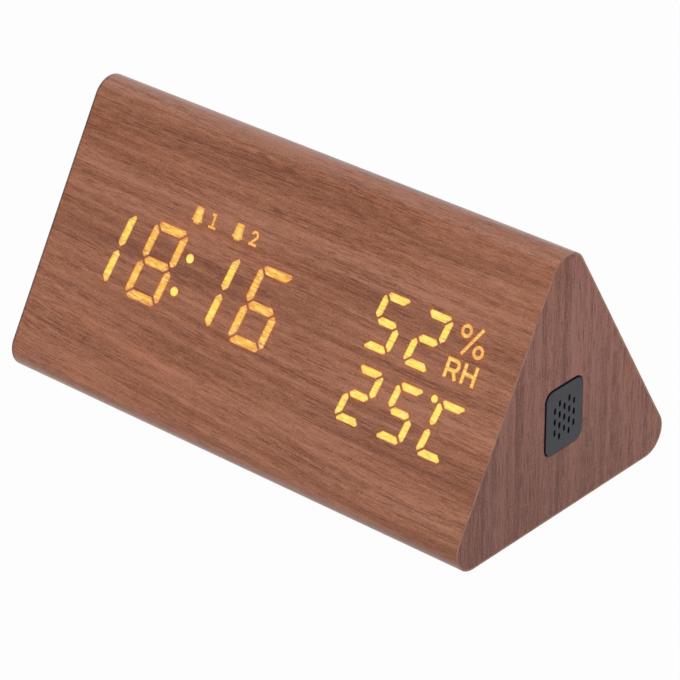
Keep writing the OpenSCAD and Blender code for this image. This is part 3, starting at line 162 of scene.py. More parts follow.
class Graph:
    """A node tree with short ways to add nodes to it."""

    def __init__(self, tree: bpy.types.NodeTree) -> None:
        """Keeps the tree."""
        self.tree = tree

    @classmethod
    def afresh(cls, owner: bpy.types.Material | bpy.types.World) -> "Graph":
        """Empties a node tree and starts on it.

        Args:
            owner: The material or world that has the tree.

        Returns:
            The graph.
        """
        owner.use_nodes = True
        owner.node_tree.nodes.clear()
        return cls(owner.node_tree)

    def node(
        self, kind: str, settings: Settings | None = None, inputs: Sockets | None = None
    ) -> bpy.types.Node:
        """Adds a node.

        Args:
            kind: The node's type name.
            settings: Its own settings, set first. A ramp's are its "stops".
            inputs: Values or links of its sockets, by name or number.

        Returns:
            The node.
        """
        made = self.tree.nodes.new(kind)
        for name, value in (settings or {}).items():
            if name == "stops":
                self.set_stops(made.color_ramp.elements, value)
            else:
                setattr(made, name, value)
        for name, value in (inputs or {}).items():
            if isinstance(value, Value):
                self.tree.links.new(value.socket, made.inputs[name])
            else:
                made.inputs[name].default_value = value
        return made

    def value(
        self,
        kind: str,
        settings: Settings | None = None,
        inputs: Sockets | None = None,
        output: str | int = 0,
    ) -> Value:
        """Adds a node, as node() does, and gives one of its outputs."""
        return Value(self, self.node(kind, settings, inputs).outputs[output])

    def math(self, operation: str, *terms: Value | float, clamp: bool = False) -> Value:
        """A Math node's result, which is held between 0 and 1 where clamp is set."""
        settings = {"operation": operation, "use_clamp": clamp}
        return self.value("ShaderNodeMath", settings, dict(enumerate(terms)))

    @staticmethod
    def set_stops(stops: bpy.types.ColorRampElements, colours: Sequence[Colour]) -> None:
        """Gives a ramp its colours.

        Args:
            stops: The ramp's stops.
            colours: Their colours, from 0 to 1 in even steps.
        """
        while len(stops) < len(colours):
            stops.new(1.0)
        for i, (stop, colour) in enumerate(zip(stops, colours, strict=True)):
            stop.position = i / (len(colours) - 1)
            stop.color = colour

    def ramp(self, factor: Value, colours: Sequence[Colour]) -> Value:
        """Colour along a ramp with even steps."""
        return self.value("ShaderNodeValToRGB", {"stops": colours}, {"Fac": factor}, "Color")

    def blend(self, factor: Value, first: Value | Colour, second: Value | Colour) -> Value:
        """Colour between two colours."""
        return self.value("ShaderNodeMix", {"data_type": "RGBA"}, {0: factor, 6: first, 7: second}, 2)

    def tint(self, colour: Value | Colour, by: Value | Colour, share: Value | float = 1.0) -> Value:
        """A colour times another, in full or by a share."""
        settings = {"data_type": "RGBA", "blend_type": "MULTIPLY"}
        return self.value("ShaderNodeMix", settings, {0: share, 6: colour, 7: by}, 2)

    def shade(self, colour: Value | Colour, level: Value) -> Value:
        """A colour times a number."""
        grey = self.value("ShaderNodeCombineColor", None, {0: level, 1: level, 2: level})
        return self.tint(colour, grey)

    def vector(self, operation: str, first: SocketInput, second: SocketInput) -> Value:
        """Vector sum, product or the like."""
        return self.value("ShaderNodeVectorMath", {"operation": operation}, {0: first, 1: second})

    def split(self, vector: Value) -> tuple[Value, ...]:
        """The three numbers of a vector."""
        made = self.node("ShaderNodeSeparateXYZ", None, {0: vector})
        return tuple(Value(self, output) for output in made.outputs)

    def join(self, x: SocketInput, y: SocketInput, z: SocketInput) -> Value:
        """A vector of three numbers."""
        return self.value("ShaderNodeCombineXYZ", None, {0: x, 1: y, 2: z})

    def noise(self, vector: Value, scale: Triple, detail: float = 2.0, rough: float = 0.5) -> Value:
        """Noise about zero, from about -0.5 to 0.5.

        Args:
            vector: Where it is read.
            scale: How often it changes along each direction of the vector.
            detail: Number of finer layers.
            rough: Strength of the finer layers.

        Returns:
            The noise.
        """
        placed = self.vector("MULTIPLY", vector, scale)
        inputs = {"Vector": placed, "Scale": 1.0, "Detail": detail, "Roughness": rough}
        return self.value("ShaderNodeTexNoise", None, inputs) - 0.5

    def bump(self, height: Value, distance: float, strength: float = 0.6) -> Value:
        """A bumped normal from a height."""
        inputs = {"Height": height, "Distance": distance, "Strength": strength}
        return self.value("ShaderNodeBump", None, inputs)

    def object_mm(self) -> Value:
        """The object's own coordinates in millimetres."""
        place = self.value("ShaderNodeTexCoord", None, None, "Object")
        return self.vector("MULTIPLY", place, (1 / MM,) * 3)

    def sheet_mm(self) -> Value:
        """Coordinates on the unrolled film, whose map holds metres, in millimetres."""
        place = self.value("ShaderNodeUVMap", {"uv_map": SHEET_MAP})
        return self.vector("MULTIPLY", place, (1 / MM,) * 3)

    def back_mm(self, up: float) -> tuple[Value, Value, Value]:
        """Place about a point of the back face's middle line.

        Args:
            up: The point's height up the face, from the face's middle.

        Returns:
            Millimetres along the body, up the face from the point, and out of the face.
        """
        x, y, z = self.split(self.object_mm())
        y, z = y - BACK_MIDDLE[0], z - BACK_MIDDLE[1]
        return x, z * OUT_COSINE - y * OUT_SINE - up, y * OUT_COSINE + z * OUT_SINE


# Finishes


@dataclass(frozen=True)
class Finish:
    """A named material with one surface shader."""

    name: str

    def surface(self, graph: Graph) -> Sockets:
        """Works out the surface shader.

        Args:
            graph: The material's graph, which gets the nodes.

        Returns:
            The shader's sockets, by name.
        """
        raise NotImplementedError

    def material(self) -> bpy.types.Material:
        """Builds the material, or finds it where it was built before.

        Returns:
            The material.
        """
        name = f"{self.name}_finish"
        found = bpy.data.materials.get(name)
        if found:
            return found
        made = bpy.data.materials.new(name)
        graph = Graph.afresh(made)
        shader = graph.value("ShaderNodeBsdfPrincipled", None, self.surface(graph))
        graph.node("ShaderNodeOutputMaterial", None, {"Surface": shader})
        return made


class GrainSource(Enum):
    """Where a wood pattern takes its place from."""

    SHEET = "the unrolled film"
    UPRIGHT = "upright on an end panel"


@dataclass(frozen=True)
class Walnut:
    """Printed walnut figure: bands, streaks, fibres and pores along the grain."""

    dark: Colour
    middle: Colour
    light: Colour
    contrast: float
    slope: float
    sweep: float
    wander: float
    seed: float
    sweep_start: float = -75.0
    sweep_fade: float = -0.025
    sweep_reach: Point = (100.0, 150.0)
    cool: Colour = (0.98, 1.02, 1.06, 1.0)
    warm: Colour = (1.03, 0.98, 0.92, 1.0)

    def place(self, graph: Graph, source: GrainSource) -> Value:
        """Finds where the grain is read, with lines that wander a little.

        Args:
            graph: The material's graph.
            source: What the place is taken from.

        Returns:
            Millimetres along the grain and across it, and the seed.
        """
        if source is GrainSource.SHEET:
            along, across, _ = graph.split(graph.sheet_mm())
        else:
            _, across, along = graph.split(graph.object_mm())
        straight = graph.join(along, across, self.seed)
        slow = graph.noise(straight, (0.011, 0.02, 1.0), 1.0)
        quick = graph.noise(straight, (0.045, 0.1, 1.0), 1.0)
        fade = ((along - self.sweep_start) * self.sweep_fade).call("EXPONENT")
        bend = fade * across.smooth(*self.sweep_reach)
        drift = (slow * 4.0 + quick * 0.45) * self.wander + bend * self.sweep
        return graph.join(along, across - along * self.slope + drift, self.seed)

    def pores(self, graph: Graph, place: Value) -> Value:
        """Draws short dark pores along the grain.

        Args:
            graph: The material's graph.
            place: Where they are read, from place().

        Returns:
            How dark the pores are, from 0 to 1.
        """
        fine = graph.noise(place, (0.2, 2.6, 3.0), 1.0)
        crowd = graph.noise(place, (0.02, 0.25, 5.0), 1.0)
        return (fine + crowd * 0.45).smooth(0.05, 0.2)

    def draw(self, graph: Graph, place: Value) -> tuple[Value, Value]:
        """Draws the wood.

        Args:
            graph: The material's graph.
            place: Where it is read, from place().

        Returns:
            Its colour, and its height for a bump.
        """
        figure = graph.noise(place, (0.0035, 0.075, 1.0), 6.0, 0.85)
        streaks = graph.noise(place, (0.012, 0.55, 2.0), 2.0, 0.6)
        fibres = graph.noise(place, (0.22, 3.6, 4.0), 2.0, 0.7)
        specks = graph.noise(place, (1.3, 4.5, 6.0), 1.0)
        lines = graph.noise(place, (0.009, 0.8, 12.0), 2.0, 0.6).smooth(0.1, 0.26)
        pores = self.pores(graph, place)
        bright = figure * 2.6 + streaks * 0.8 + fibres * 1.35 + specks * 1.1
        tone = bright - lines * 0.36 - pores * 0.36 + 0.1
        colour = graph.ramp((tone * self.contrast + 0.5).clamped(), (self.dark, self.middle, self.light))
        hue = graph.noise(place, (0.012, 0.13, 7.0), 2.0)
        tint = graph.ramp((hue * 2.4 + 0.5).clamped(), (self.cool, WHITE, self.warm))
        return graph.tint(colour, tint), fibres * 0.5 - pores


@dataclass(frozen=True)
class WoodFinish(Finish):
    """A satin wood-grain surface."""

    wood: Walnut
    source: GrainSource
    roughness: float
    coat: float = 0.6
    sheen: float = 0.16
    sheen_tint: Colour = (0.6, 0.8, 1.0, 1.0)
    relief: float = 0.00004

    def surface(self, graph: Graph) -> Sockets:
        """Gives wood colour with a faint relief along the grain.

        Args:
            graph: The material's graph.

        Returns:
            The shader's sockets, by name.
        """
        place = self.wood.place(graph, self.source)
        colour, height = self.wood.draw(graph, place)
        return {
            "Base Color": colour,
            "Roughness": graph.noise(place, (0.05, 0.8, 1.0)) * 0.16 + self.roughness,
            "Specular IOR Level": 0.08,
            "Coat Weight": self.coat,
            "Coat Roughness": 0.3,
            "Coat IOR": 1.45,
            "Sheen Weight": self.sheen,
            "Sheen Roughness": 0.4,
            "Sheen Tint": self.sheen_tint,
            "Normal": graph.bump(height, self.relief, 0.5),
        }


@dataclass(frozen=True)
class FilmFinish(WoodFinish):
    """The film's wood, tinted by a painted warm glow round the lit windows and darkened by a painted shade
    line along its far end.
    """

    # Painted glow: a warm multiplier round the lit windows, standing in for their light spilling into the
    # film
    warm: Colour = (1.18, 0.97, 0.56, 1.0)
    # Painted shade: a bluish darkening of a thin strip along the film's far (left) end, up to this place on
    # the sheet
    dark: Colour = (0.5, 0.56, 0.72, 1.0)
    painted_shade_x: float = -74.45

    def surface(self, graph: Graph) -> Sockets:
        """Gives wood, multiplied by the painted glow's colour near the windows and by the painted shade's
        colour at the far end.

        Args:
            graph: The material's graph.

        Returns:
            The shader's sockets, by name.
        """
        sockets = super().surface(graph)
        along, _, _ = graph.split(graph.sheet_mm())
        # Painted glow round the lit windows, weighted by the sheet's halo layer
        halo = graph.value("ShaderNodeAttribute", {"attribute_name": PAINTED_GLOW_LAYER}, None, "Fac")
        # Painted shade: a dark strip along the film's far end
        painted_shade_strip = along.call("LESS_THAN", self.painted_shade_x)
        lit = graph.tint(sockets["Base Color"], self.warm, halo)
        sockets["Base Color"] = graph.tint(lit, self.dark, painted_shade_strip)
        return sockets


@dataclass(frozen=True)
class EndPanelFinish(WoodFinish):
    """Wood grain on an end panel, brightened up and back by painted light, with raw board on the walls of
    the grille's opening.
    """

    raw: Colour = srgb(206, 170, 150)
    opening: Point = (-0.315, 28.015)
    opening_reach: Point = (7.4, 9.25)
    face_x: float = 74.9
    # Painted light: the veneer is painted up to this share brighter towards the top and back, where more
    # lamp light falls
    painted_light_lift: float = 0.19
    painted_light_way: Point = (0.6, 0.8)
    painted_light_reach: Point = (0.0, 45.0)

    def surface(self, graph: Graph) -> Sockets:
        """Gives wood, brightened up and back by painted light, and raw board behind the face within the
        opening's reach.

        Args:
            graph: The material's graph.

        Returns:
            The shader's sockets, by name.
        """
        sockets = super().surface(graph)
        x, y, z = graph.split(graph.object_mm())
        # Painted light: a smooth brightening towards the top and the back of the panel
        up_and_back = z * self.painted_light_way[1] + y * self.painted_light_way[0]
        lighter = up_and_back.smooth(*self.painted_light_reach) * self.painted_light_lift + 1.0
        wall = x.call("GREATER_THAN", 0.0) * x.call("LESS_THAN", self.face_x)
        for way, middle, reach in zip((y, z), self.opening, self.opening_reach, strict=True):
            wall = wall * abs(way - middle).call("LESS_THAN", reach)
        veneer = graph.shade(sockets["Base Color"], lighter)
        sockets["Base Color"] = graph.blend(wall, veneer, self.raw)
        return sockets


@dataclass(frozen=True)
class CutEdgeFinish(Finish):
    """The pale cut edge of the film."""

    pale: Colour
    brown: Colour

    def surface(self, graph: Graph) -> Sockets:
        """Gives pale paper with darker stretches where the print runs over the edge.

        Args:
            graph: The material's graph.

        Returns:
            The shader's sockets, by name.
        """
        patches = graph.noise(graph.object_mm(), (0.35, 0.35, 0.35), 3.0, 0.6)
        colour = graph.blend(patches.smooth(-0.12, 0.2), self.pale, self.brown)
        return {"Base Color": colour, "Roughness": 0.6}


class Mark(Enum):
    """Kinds of lit mark, by how their light spreads."""

    HOT = "bright in the middle, orange at the ends"
    DEEP = "orange all over"
    EVEN = "even yellow"
    WARM = "yellow-orange letters"
    SIGN = "thin orange strokes"


@dataclass(frozen=True)
class GlowFinish(Finish):
    """Amber light behind the wood film."""

    core: Colour
    rim: Colour
    end_fade: float
    patchy: float
    wood: Walnut
    spark: Colour = srgb(255, 240, 160)

    def surface(self, graph: Graph) -> Sockets:
        """Gives light that fades to the mark's edges and ends, with the film's pores in front of it.

        Args:
            graph: The material's graph.

        Returns:
            The shader's sockets, by name.
        """
        along, edge, _ = graph.split(graph.value("ShaderNodeUVMap", {"uv_map": GLOW_MAP}))
        place = self.wood.place(graph, GrainSource.SHEET)
        pores = self.wood.pores(graph, place)
        fibres = graph.noise(place, (0.22, 3.4, 4.0), 2.0, 0.6)
        mottle = graph.noise(place, (0.5, 1.1, 8.0), 2.0, 0.7)
        ends = abs(along).smooth(0.15, 1.0) * self.end_fade
        middle = edge.smooth(-0.1, 0.9) * (1.0 - ends)
        patches = (fibres * 1.3 + mottle * 1.6) * self.patchy
        light = graph.blend((middle + patches - pores * 0.15).clamped(), self.rim, self.core)
        sparks = graph.noise(place, (0.3, 1.5, 9.0), 2.0, 0.75)
        light = graph.blend((sparks * 4.0).clamped() * edge.smooth(-0.2, 0.5), light, self.spark)
        print_shade = 1.02 - pores * 0.14 + fibres * 0.55 + mottle * 0.5
        level = print_shade * (edge.smooth(-0.45, 0.3) * 0.34 + 0.66)
        return {
            "Base Color": graph.shade(self.rim, 0.05 - pores * 0.02),
            "Roughness": 0.5,
            "Specular IOR Level": 0.12,
            "Emission Color": graph.shade(light, level),
            "Emission Strength": 1.0,
        }


@dataclass(frozen=True)
class PlasticFinish(Finish):
    """Moulded plastic or rubber with a fine spark-eroded texture."""

    colour: Colour
    roughness: float
    texture: float = 3.0
    relief: float = 0.00003
    speckle: float = 0.12

    def surface(self, graph: Graph) -> Sockets:
        """Gives slightly uneven colour and gloss with a fine relief.

        Args:
            graph: The material's graph.

        Returns:
            The shader's sockets, by name.
        """
        place = graph.object_mm()
        grain = graph.noise(place, (self.texture,) * 3, 3.0, 0.6)
        wear = graph.noise(place, (0.12, 0.12, 0.12), 2.0)
        return {
            "Base Color": graph.shade(self.colour, (grain + wear) * (2 * self.speckle) + 1.0),
            "Roughness": (grain * 0.1 + wear * 0.2 + self.roughness).clamped(),
            "Specular IOR Level": 0.4,
            "Normal": graph.bump(grain, self.relief),
        }


@dataclass(frozen=True)
class ButtonFinish(PlasticFinish):
    """Button plastic with paint in the sunk mark."""

    paint: Colour = (0.7, 0.7, 0.68, 1.0)
    pitch: float = BUTTON_PITCH
    up: float = BUTTON_UP
    floor: float = 1.05
    reach: float = 2.6

    def surface(self, graph: Graph) -> Sockets:
        """Gives plastic, and paint below the top face within the mark's reach.

        Args:
            graph: The material's graph.

        Returns:
            The shader's sockets, by name.
        """
        sockets = super().surface(graph)
        x, up, out = graph.back_mm(self.up)
        side = x - (x / self.pitch).call("ROUND") * self.pitch
        near = (side * side + up * up).call("LESS_THAN", self.reach**2)
        painted = out.call("LESS_THAN", self.floor) * out.call("GREATER_THAN", 0.0) * near
        sockets["Base Color"] = graph.blend(painted, sockets["Base Color"], self.paint)
        return sockets


@dataclass(frozen=True)
class SocketFinish(PlasticFinish):
    """Socket plastic with a plated pin on its axis."""

    pin: Colour = (0.8, 0.76, 0.66, 1.0)
    pin_reach: float = 0.75
    axis_x: float = JACK_X
    up: float = JACK_UP

    def surface(self, graph: Graph) -> Sockets:
        """Gives plastic, and metal near the socket's axis.

        Args:
            graph: The material's graph.

        Returns:
            The shader's sockets, by name.
        """
        sockets = super().surface(graph)
        x, up, _ = graph.back_mm(self.up)
        side = x - self.axis_x
        plated = (side * side + up * up).call("LESS_THAN", self.pin_reach**2)
        sockets["Base Color"] = graph.blend(plated, sockets["Base Color"], self.pin)
        sockets["Metallic"] = plated
        return sockets


@dataclass(frozen=True)
class MetalFinish(Finish):
    """Bright plated metal with fine brushing."""

    colour: Colour
    roughness: float

    def surface(self, graph: Graph) -> Sockets:
        """Gives metal with small changes of gloss and a few dull spots.

        Args:
            graph: The material's graph.

        Returns:
            The shader's sockets, by name.
        """
        place = graph.object_mm()
        brush = graph.noise(place, (0.6, 6.0, 6.0), 3.0, 0.6)
        spots = graph.noise(place, (0.7, 0.7, 0.7), 3.0, 0.6)
        return {
            "Base Color": graph.shade(self.colour, 1.0 + brush * 0.2 - spots.smooth(0.1, 0.3) * 0.15),
            "Metallic": 1.0,
            "Roughness": (brush * 0.25 + spots * 0.2 + self.roughness).clamped(),
            "Normal": graph.bump(brush, 0.00001, 0.5),
        }


@dataclass(frozen=True)
class FibreboardFinish(Finish):
    """Raw fibreboard: pale brown with fibres and flecks."""

    colour: Colour
    fleck: Colour

    def surface(self, graph: Graph) -> Sockets:
        """Gives flecked board.

        Args:
            graph: The material's graph.

        Returns:
            The shader's sockets, by name.
        """
        fibres = graph.noise(graph.object_mm(), (0.9, 1.6, 1.6), 4.0, 0.7)
        colour = graph.blend(fibres.smooth(0.0, 0.25), self.colour, self.fleck)
        return {"Base Color": colour, "Roughness": 0.85, "Normal": graph.bump(fibres, 0.00008)}


@dataclass(frozen=True)
class CircuitFinish(Finish):
    """A circuit board with copper tracks under its lacquer."""

    lacquer: Colour
    track: Colour

    def surface(self, graph: Graph) -> Sockets:
        """Gives lacquer that is lighter over the tracks.

        Args:
            graph: The material's graph.

        Returns:
            The shader's sockets, by name.
        """
        place = graph.object_mm()
        inputs = {"Vector": place, "Scale": 0.42, "Randomness": 0.6}
        cells = graph.value("ShaderNodeTexVoronoi", {"feature": "DISTANCE_TO_EDGE"}, inputs, "Distance")
        tracks = 1.0 - cells.smooth(0.03, 0.07)
        mottle = graph.noise(place, (0.5, 0.5, 0.5), 3.0)
        colour = graph.shade(graph.blend(tracks * 0.8, self.lacquer, self.track), mottle * 0.3 + 1.0)
        return {"Base Color": colour, "Roughness": 0.32, "Normal": graph.bump(tracks, 0.00003)}


@dataclass(frozen=True)
class CellFinish(Finish):
    """A battery cell: a printed sleeve with a band at its tip end and bare metal ends."""

    sleeve: Colour
    band: Colour
    steel: Colour
    tip_side: int
    half_length: float = 22.2
    shift: float = 1.9
    band_length: float = 12.0
    bare_length: float = 0.9

    def surface(self, graph: Graph) -> Sockets:
        """Gives sleeve, band and ends by the place along the cell.

        Args:
            graph: The material's graph.

        Returns:
            The shader's sockets, by name.
        """
        place = graph.object_mm()
        x, _, _ = graph.split(place)
        along = (x - self.tip_side * self.shift) * float(self.tip_side)
        band = along.call("GREATER_THAN", self.half_length - self.band_length)
        bare = abs(along).call("GREATER_THAN", self.half_length - self.bare_length)
        scuff = graph.noise(place, (0.5, 1.5, 1.5), 3.0)
        printed = graph.shade(graph.blend(band, self.sleeve, self.band), scuff * 0.25 + 1.0)
        return {
            "Base Color": graph.blend(bare, printed, self.steel),
            "Metallic": bare * 0.9,
            "Roughness": (scuff * 0.2 + 0.34).clamped(),
        }


WALNUT = Walnut(
    dark=srgb(110, 58, 31),
    middle=srgb(142, 86, 58),
    light=srgb(174, 114, 87),
    contrast=1.1,
    slope=0.01,
    sweep=5.0,
    wander=1.0,
    seed=6.0,
)
END_WALNUT = Walnut(
    dark=srgb(107, 61, 45),
    middle=srgb(128, 80, 66),
    light=srgb(149, 99, 85),
    contrast=2.0,
    slope=0.0,
    sweep=0.0,
    wander=0.2,
    seed=7.0,
)
FILM = FilmFinish("wood_film", WALNUT, GrainSource.SHEET, 0.46)
FILM_EDGE = CutEdgeFinish("film_cut_edge", srgb(172, 127, 106), srgb(140, 98, 81))
END_VENEER = EndPanelFinish("end_veneer", END_WALNUT, GrainSource.UPRIGHT, 0.48, coat=0.35, sheen=0.08)
GLOWS = {
    Mark.HOT: GlowFinish("amber_hot", srgb(250, 218, 90), srgb(232, 164, 94), 0.75, 1.3, WALNUT),
    Mark.DEEP: GlowFinish("amber_deep", srgb(248, 190, 76), srgb(224, 140, 84), 0.6, 1.3, WALNUT),
    Mark.EVEN: GlowFinish("amber_even", srgb(248, 226, 98), srgb(242, 184, 104), 0.25, 1.0, WALNUT),
    Mark.WARM: GlowFinish("amber_warm", srgb(248, 202, 94), srgb(234, 162, 88), 0.0, 0.8, WALNUT),
    Mark.SIGN: GlowFinish("amber_sign", srgb(246, 180, 92), srgb(232, 154, 84), 0.0, 0.7, WALNUT),
}
RUBBER = PlasticFinish("rubber", srgb(34, 34, 35), 0.85, texture=2.0, relief=0.00006)
STEEL = MetalFinish("steel", srgb(196, 196, 198), 0.3)
CELL_LEFT, CELL_RIGHT = (
    CellFinish(f"cell_tip_{name}", srgb(52, 62, 78), srgb(190, 132, 84), srgb(200, 200, 200), side)
    for name, side in (("left", -1), ("right", 1))
)

CARRIED_OVER: dict[Finish, tuple[str, ...]] = {
    END_VENEER: ("left_end_panel", "right_end_panel"),
    FibreboardFinish("fibreboard", srgb(186, 152, 112), srgb(140, 106, 72)): (
        "front_board", "back_board", "base_board"
    ),
    PlasticFinish("slate_plastic", srgb(37, 38, 45), 0.5, texture=4.0): ("sensor_grille",),
    PlasticFinish("black_plastic", srgb(38, 38, 40), 0.52): (
        "battery_tray", "battery_door", "tact_switches"
    ),
    ButtonFinish("button_plastic", srgb(44, 44, 46), 0.42): ("set_button", "up_button", "down_button"),
    SocketFinish("jack_plastic", srgb(30, 30, 32), 0.4): ("power_jack",),
    PlasticFinish("white_plastic", srgb(226, 226, 220), 0.5, speckle=0.04): (
        "display_reflector", "button_spacers", "humidity_sensor"
    ),
    PlasticFinish("chip_plastic", srgb(36, 37, 40), 0.6, texture=8.0): (
        "display_driver", "clock_chip", "buzzer", "set_plunger", "up_plunger", "down_plunger"
    ),
    PlasticFinish("led_package", srgb(236, 220, 150), 0.35, speckle=0.06): ("led_chips",),
    PlasticFinish("unlit_resin", srgb(206, 198, 176), 0.3, texture=1.0, speckle=0.05): ("unlit_segments",),
    CircuitFinish("circuit_board", srgb(24, 84, 50), srgb(52, 124, 74)): (
        "sensor_board", "display_board", "main_board", "button_board"
    ),
    STEEL: (
        "positive_terminal", "negative_terminal", "bridge_contacts", "crystal",
        "board_screws", "spacer_screws", "jack_nut",
    ),
    CELL_LEFT: ("aaa_cell_1", "aaa_cell_3"),
    CELL_RIGHT: ("aaa_cell_2", "aaa_cell_4"),
    PlasticFinish("red_wire", srgb(176, 34, 28), 0.4): ("battery_lead", "power_lead"),
    PlasticFinish("grey_wire", srgb(150, 150, 154), 0.4): ("sensor_lead", "display_lead", "button_lead"),
}


# Plane shapes, in millimetres


def arc(centre: Point, radius: float, first: float, last: float, steps: int = 12) -> Outline:
    """Points along an arc, with its directions in degrees."""
    turns = (math.radians(first + (last - first) * i / steps) for i in range(steps + 1))
    return [(centre[0] + radius * math.cos(t), centre[1] + radius * math.sin(t)) for t in turns]


def circle(centre: Point, radius: float, steps: int = 24) -> Outline:
    """Outline of a disc."""
    return arc(centre, radius, 0, 360, steps)[:-1]


def arc_stroke(
    centre: Point, radius: float, width: float, first: float, last: float, steps: int = 12
) -> Outline:
    """Outline of a stroke along an arc."""
    outer, inner = (arc(centre, radius + side * width / 2, first, last, steps) for side in (1, -1))
    return outer + inner[::-1]


def stroke(start: Point, end: Point, width: float) -> Outline:
    """Draws a straight stroke.

    Args:
        start, end: Ends of its middle line.
        width: Its width.

    Returns:
        Its outline.
    """
    first, last = Vector(start), Vector(end)
    side = (last - first).normalized().orthogonal() * width / 2
    return [tuple(corner) for corner in (first - side, last - side, last + side, first + side)]


def rounded_rectangle(centre: Point, width: float, height: float, radius: float, steps: int = 6) -> Outline:
    """Draws a rectangle with rounded corners.

    Args:
        centre: Its middle.
        width, height: Its sizes.
        radius: Radius of its corners.
        steps: Steps in each corner.

    Returns:
        Its outline.
    """
    outline: Outline = []
    for quarter, (side_x, side_y) in enumerate(((1, 1), (-1, 1), (-1, -1), (1, -1))):
        corner = (centre[0] + side_x * (width / 2 - radius), centre[1] + side_y * (height / 2 - radius))
        outline += arc(corner, radius, 90 * quarter, 90 * quarter + 90, steps)
    return outline


def mirrored(half: Outline) -> Outline:
    """Outline of a shape from its right half."""
    return half + [(-x, y) for x, y in half[::-1]]


def closed(outline: Outline) -> Outline:
    """An outline as a line that returns to its start."""
    return outline + outline[:1]


def shifted(points: Iterable[Point], by: Point) -> Outline:
    """Points moved by a step."""
    return [(x + by[0], y + by[1]) for x, y in points]


def corners(outline: Outline) -> Iterator[tuple[Vector, Vector, Vector]]:
    """Goes round an outline.

    Args:
        outline: The outline.

    Yields:
        Each corner, with the ways to the corner before it and to the one after.
    """
    for i, point in enumerate(outline):
        here = Vector(point)
        yield here, Vector(outline[i - 1]) - here, Vector(outline[(i + 1) % len(outline)]) - here


def rounded(outline: Outline, radius: float, steps: int = 4) -> Outline:
    """Rounds the corners of an outline.

    Args:
        outline: The sharp outline.
        radius: Radius of each corner, which is less where the sides are short.
        steps: Steps in each corner.

    Returns:
        The rounded outline.
    """
    smooth: Outline = []
    for here, back, ahead in corners(outline):
        sides = (CORNER_SHARE * back.length, CORNER_SHARE * ahead.length)
        reach = min(radius / math.tan(back.angle(ahead) / 2), *sides)
        first = here + back.normalized() * reach
        last = here + ahead.normalized() * reach
        for t in (step / steps for step in range(steps + 1)):
            smooth.append(tuple(first * (1 - t) ** 2 + here * 2 * t * (1 - t) + last * t**2))
    return smooth


def inset(outline: Outline, distance: float) -> Outline:
    """Moves each side of a convex outline inwards.

    Args:
        outline: The outline.
        distance: How far its sides move.

    Returns:
        The smaller outline.
    """
    moved: Outline = []
    for here, back, ahead in corners(outline):
        way = (back.normalized() + ahead.normalized()).normalized()
        moved.append(tuple(here + way * distance / math.sin(back.angle(ahead) / 2)))
    return moved


def contains(outline: Outline, point: Point) -> bool:
    """Tells whether a point lies inside an outline.

    Args:
        outline: The outline.
        point: The point.

    Returns:
        Whether a level line from the point crosses the outline an odd number of times.
    """
    x, y = point
    found = False
    for i, (x1, y1) in enumerate(outline):
        x2, y2 = outline[i - 1]
        if (y1 > y) != (y2 > y) and x < (x2 - x1) * (y - y1) / (y2 - y1) + x1:
            found = not found
    return found


def distance_to(point: Point, edges: Sequence[tuple[Point, Point]]) -> float:
    """Measures how far a point lies from some edges.

    Args:
        point: The point.
        edges: Ends of each edge.

    Returns:
        Distance to the nearest edge.
    """
    here = Vector(point)
    nearest = math.inf
    for start, end in edges:
        run = Vector(end) - Vector(start)
        share = (here - Vector(start)).dot(run) / run.length_squared
        spot = Vector(start) + run * min(max(share, 0.0), 1.0)
        nearest = min(nearest, (here - spot).length)
    return nearest


@dataclass
class Shape:
    """A plane shape cut into triangles: its points, triangles and border edges."""

    points: list[Point]
    triangles: list[tuple[int, int, int]]
    border: list[tuple[int, int]]

    @classmethod
    def cut(
        cls,
        lines: Sequence[Sequence[Point]],
        outlines: Sequence[Outline],
        keep: Callable[[Point], bool],
    ) -> "Shape":
        """Cuts a shape into triangles along lines and outlines.

        Args:
            lines: Open lines that edges follow.
            outlines: Closed lines that edges follow.
            keep: Tells whether a triangle is kept, from its middle.

        Returns:
            The shape.
        """
        points: list[Vector] = []
        edges: list[tuple[int, int]] = []
        for i, line in enumerate((*lines, *outlines)):
            start, count = len(points), len(line)
            points += [Vector(p) for p in line]
            steps = count - 1 if i < len(lines) else count
            edges += [(start + j, start + (j + 1) % count) for j in range(steps)]
        found, _, faces, *_ = delaunay_2d_cdt(points, edges, [], 0, CUT_TOLERANCE)
        spots = [tuple(p) for p in found]
        triangles = [
            tuple(face)
            for face in faces
            if keep(tuple(sum(spots[i][axis] for i in face) / 3 for axis in (0, 1)))
        ]
        sides = [(face[i], face[(i + 1) % 3]) for face in triangles for i in range(3)]
        uses = Counter(frozenset(side) for side in sides)
        return cls(spots, triangles, [side for side in sides if uses[frozenset(side)] == 1])

    def edge_shares(self, reach: float) -> list[float]:
        """How far each point lies from the border, as a share of a reach, up to 1."""
        edges = [(self.points[a], self.points[b]) for a, b in self.border]
        return [min(distance_to(p, edges) / reach, 1.0) for p in self.points]

    def used(self) -> list[int]:
        """Numbers of the points that triangles use."""
        return sorted({i for face in self.triangles for i in face})

    def solid(
        self,
        made: bmesh.types.BMesh,
        top: dict[int, bmesh.types.BMVert],
        bottom: dict[int, bmesh.types.BMVert],
    ) -> tuple[list[bmesh.types.BMFace], list[bmesh.types.BMFace]]:
        """Adds the faces of a flat solid of this shape.

        Args:
            made: The mesh that gets the faces.
            top: Its vertices in the upper layer, by the point's number.
            bottom: Its vertices in the lower layer.

        Returns:
            The flat faces, and the walls along the border.
        """
        flats = []
        for a, b, c in self.triangles:
            flats.append(made.faces.new((top[a], top[b], top[c])))
            flats.append(made.faces.new((bottom[c], bottom[b], bottom[a])))
        return flats, [made.faces.new((top[b], top[a], bottom[a], bottom[b])) for a, b in self.border]


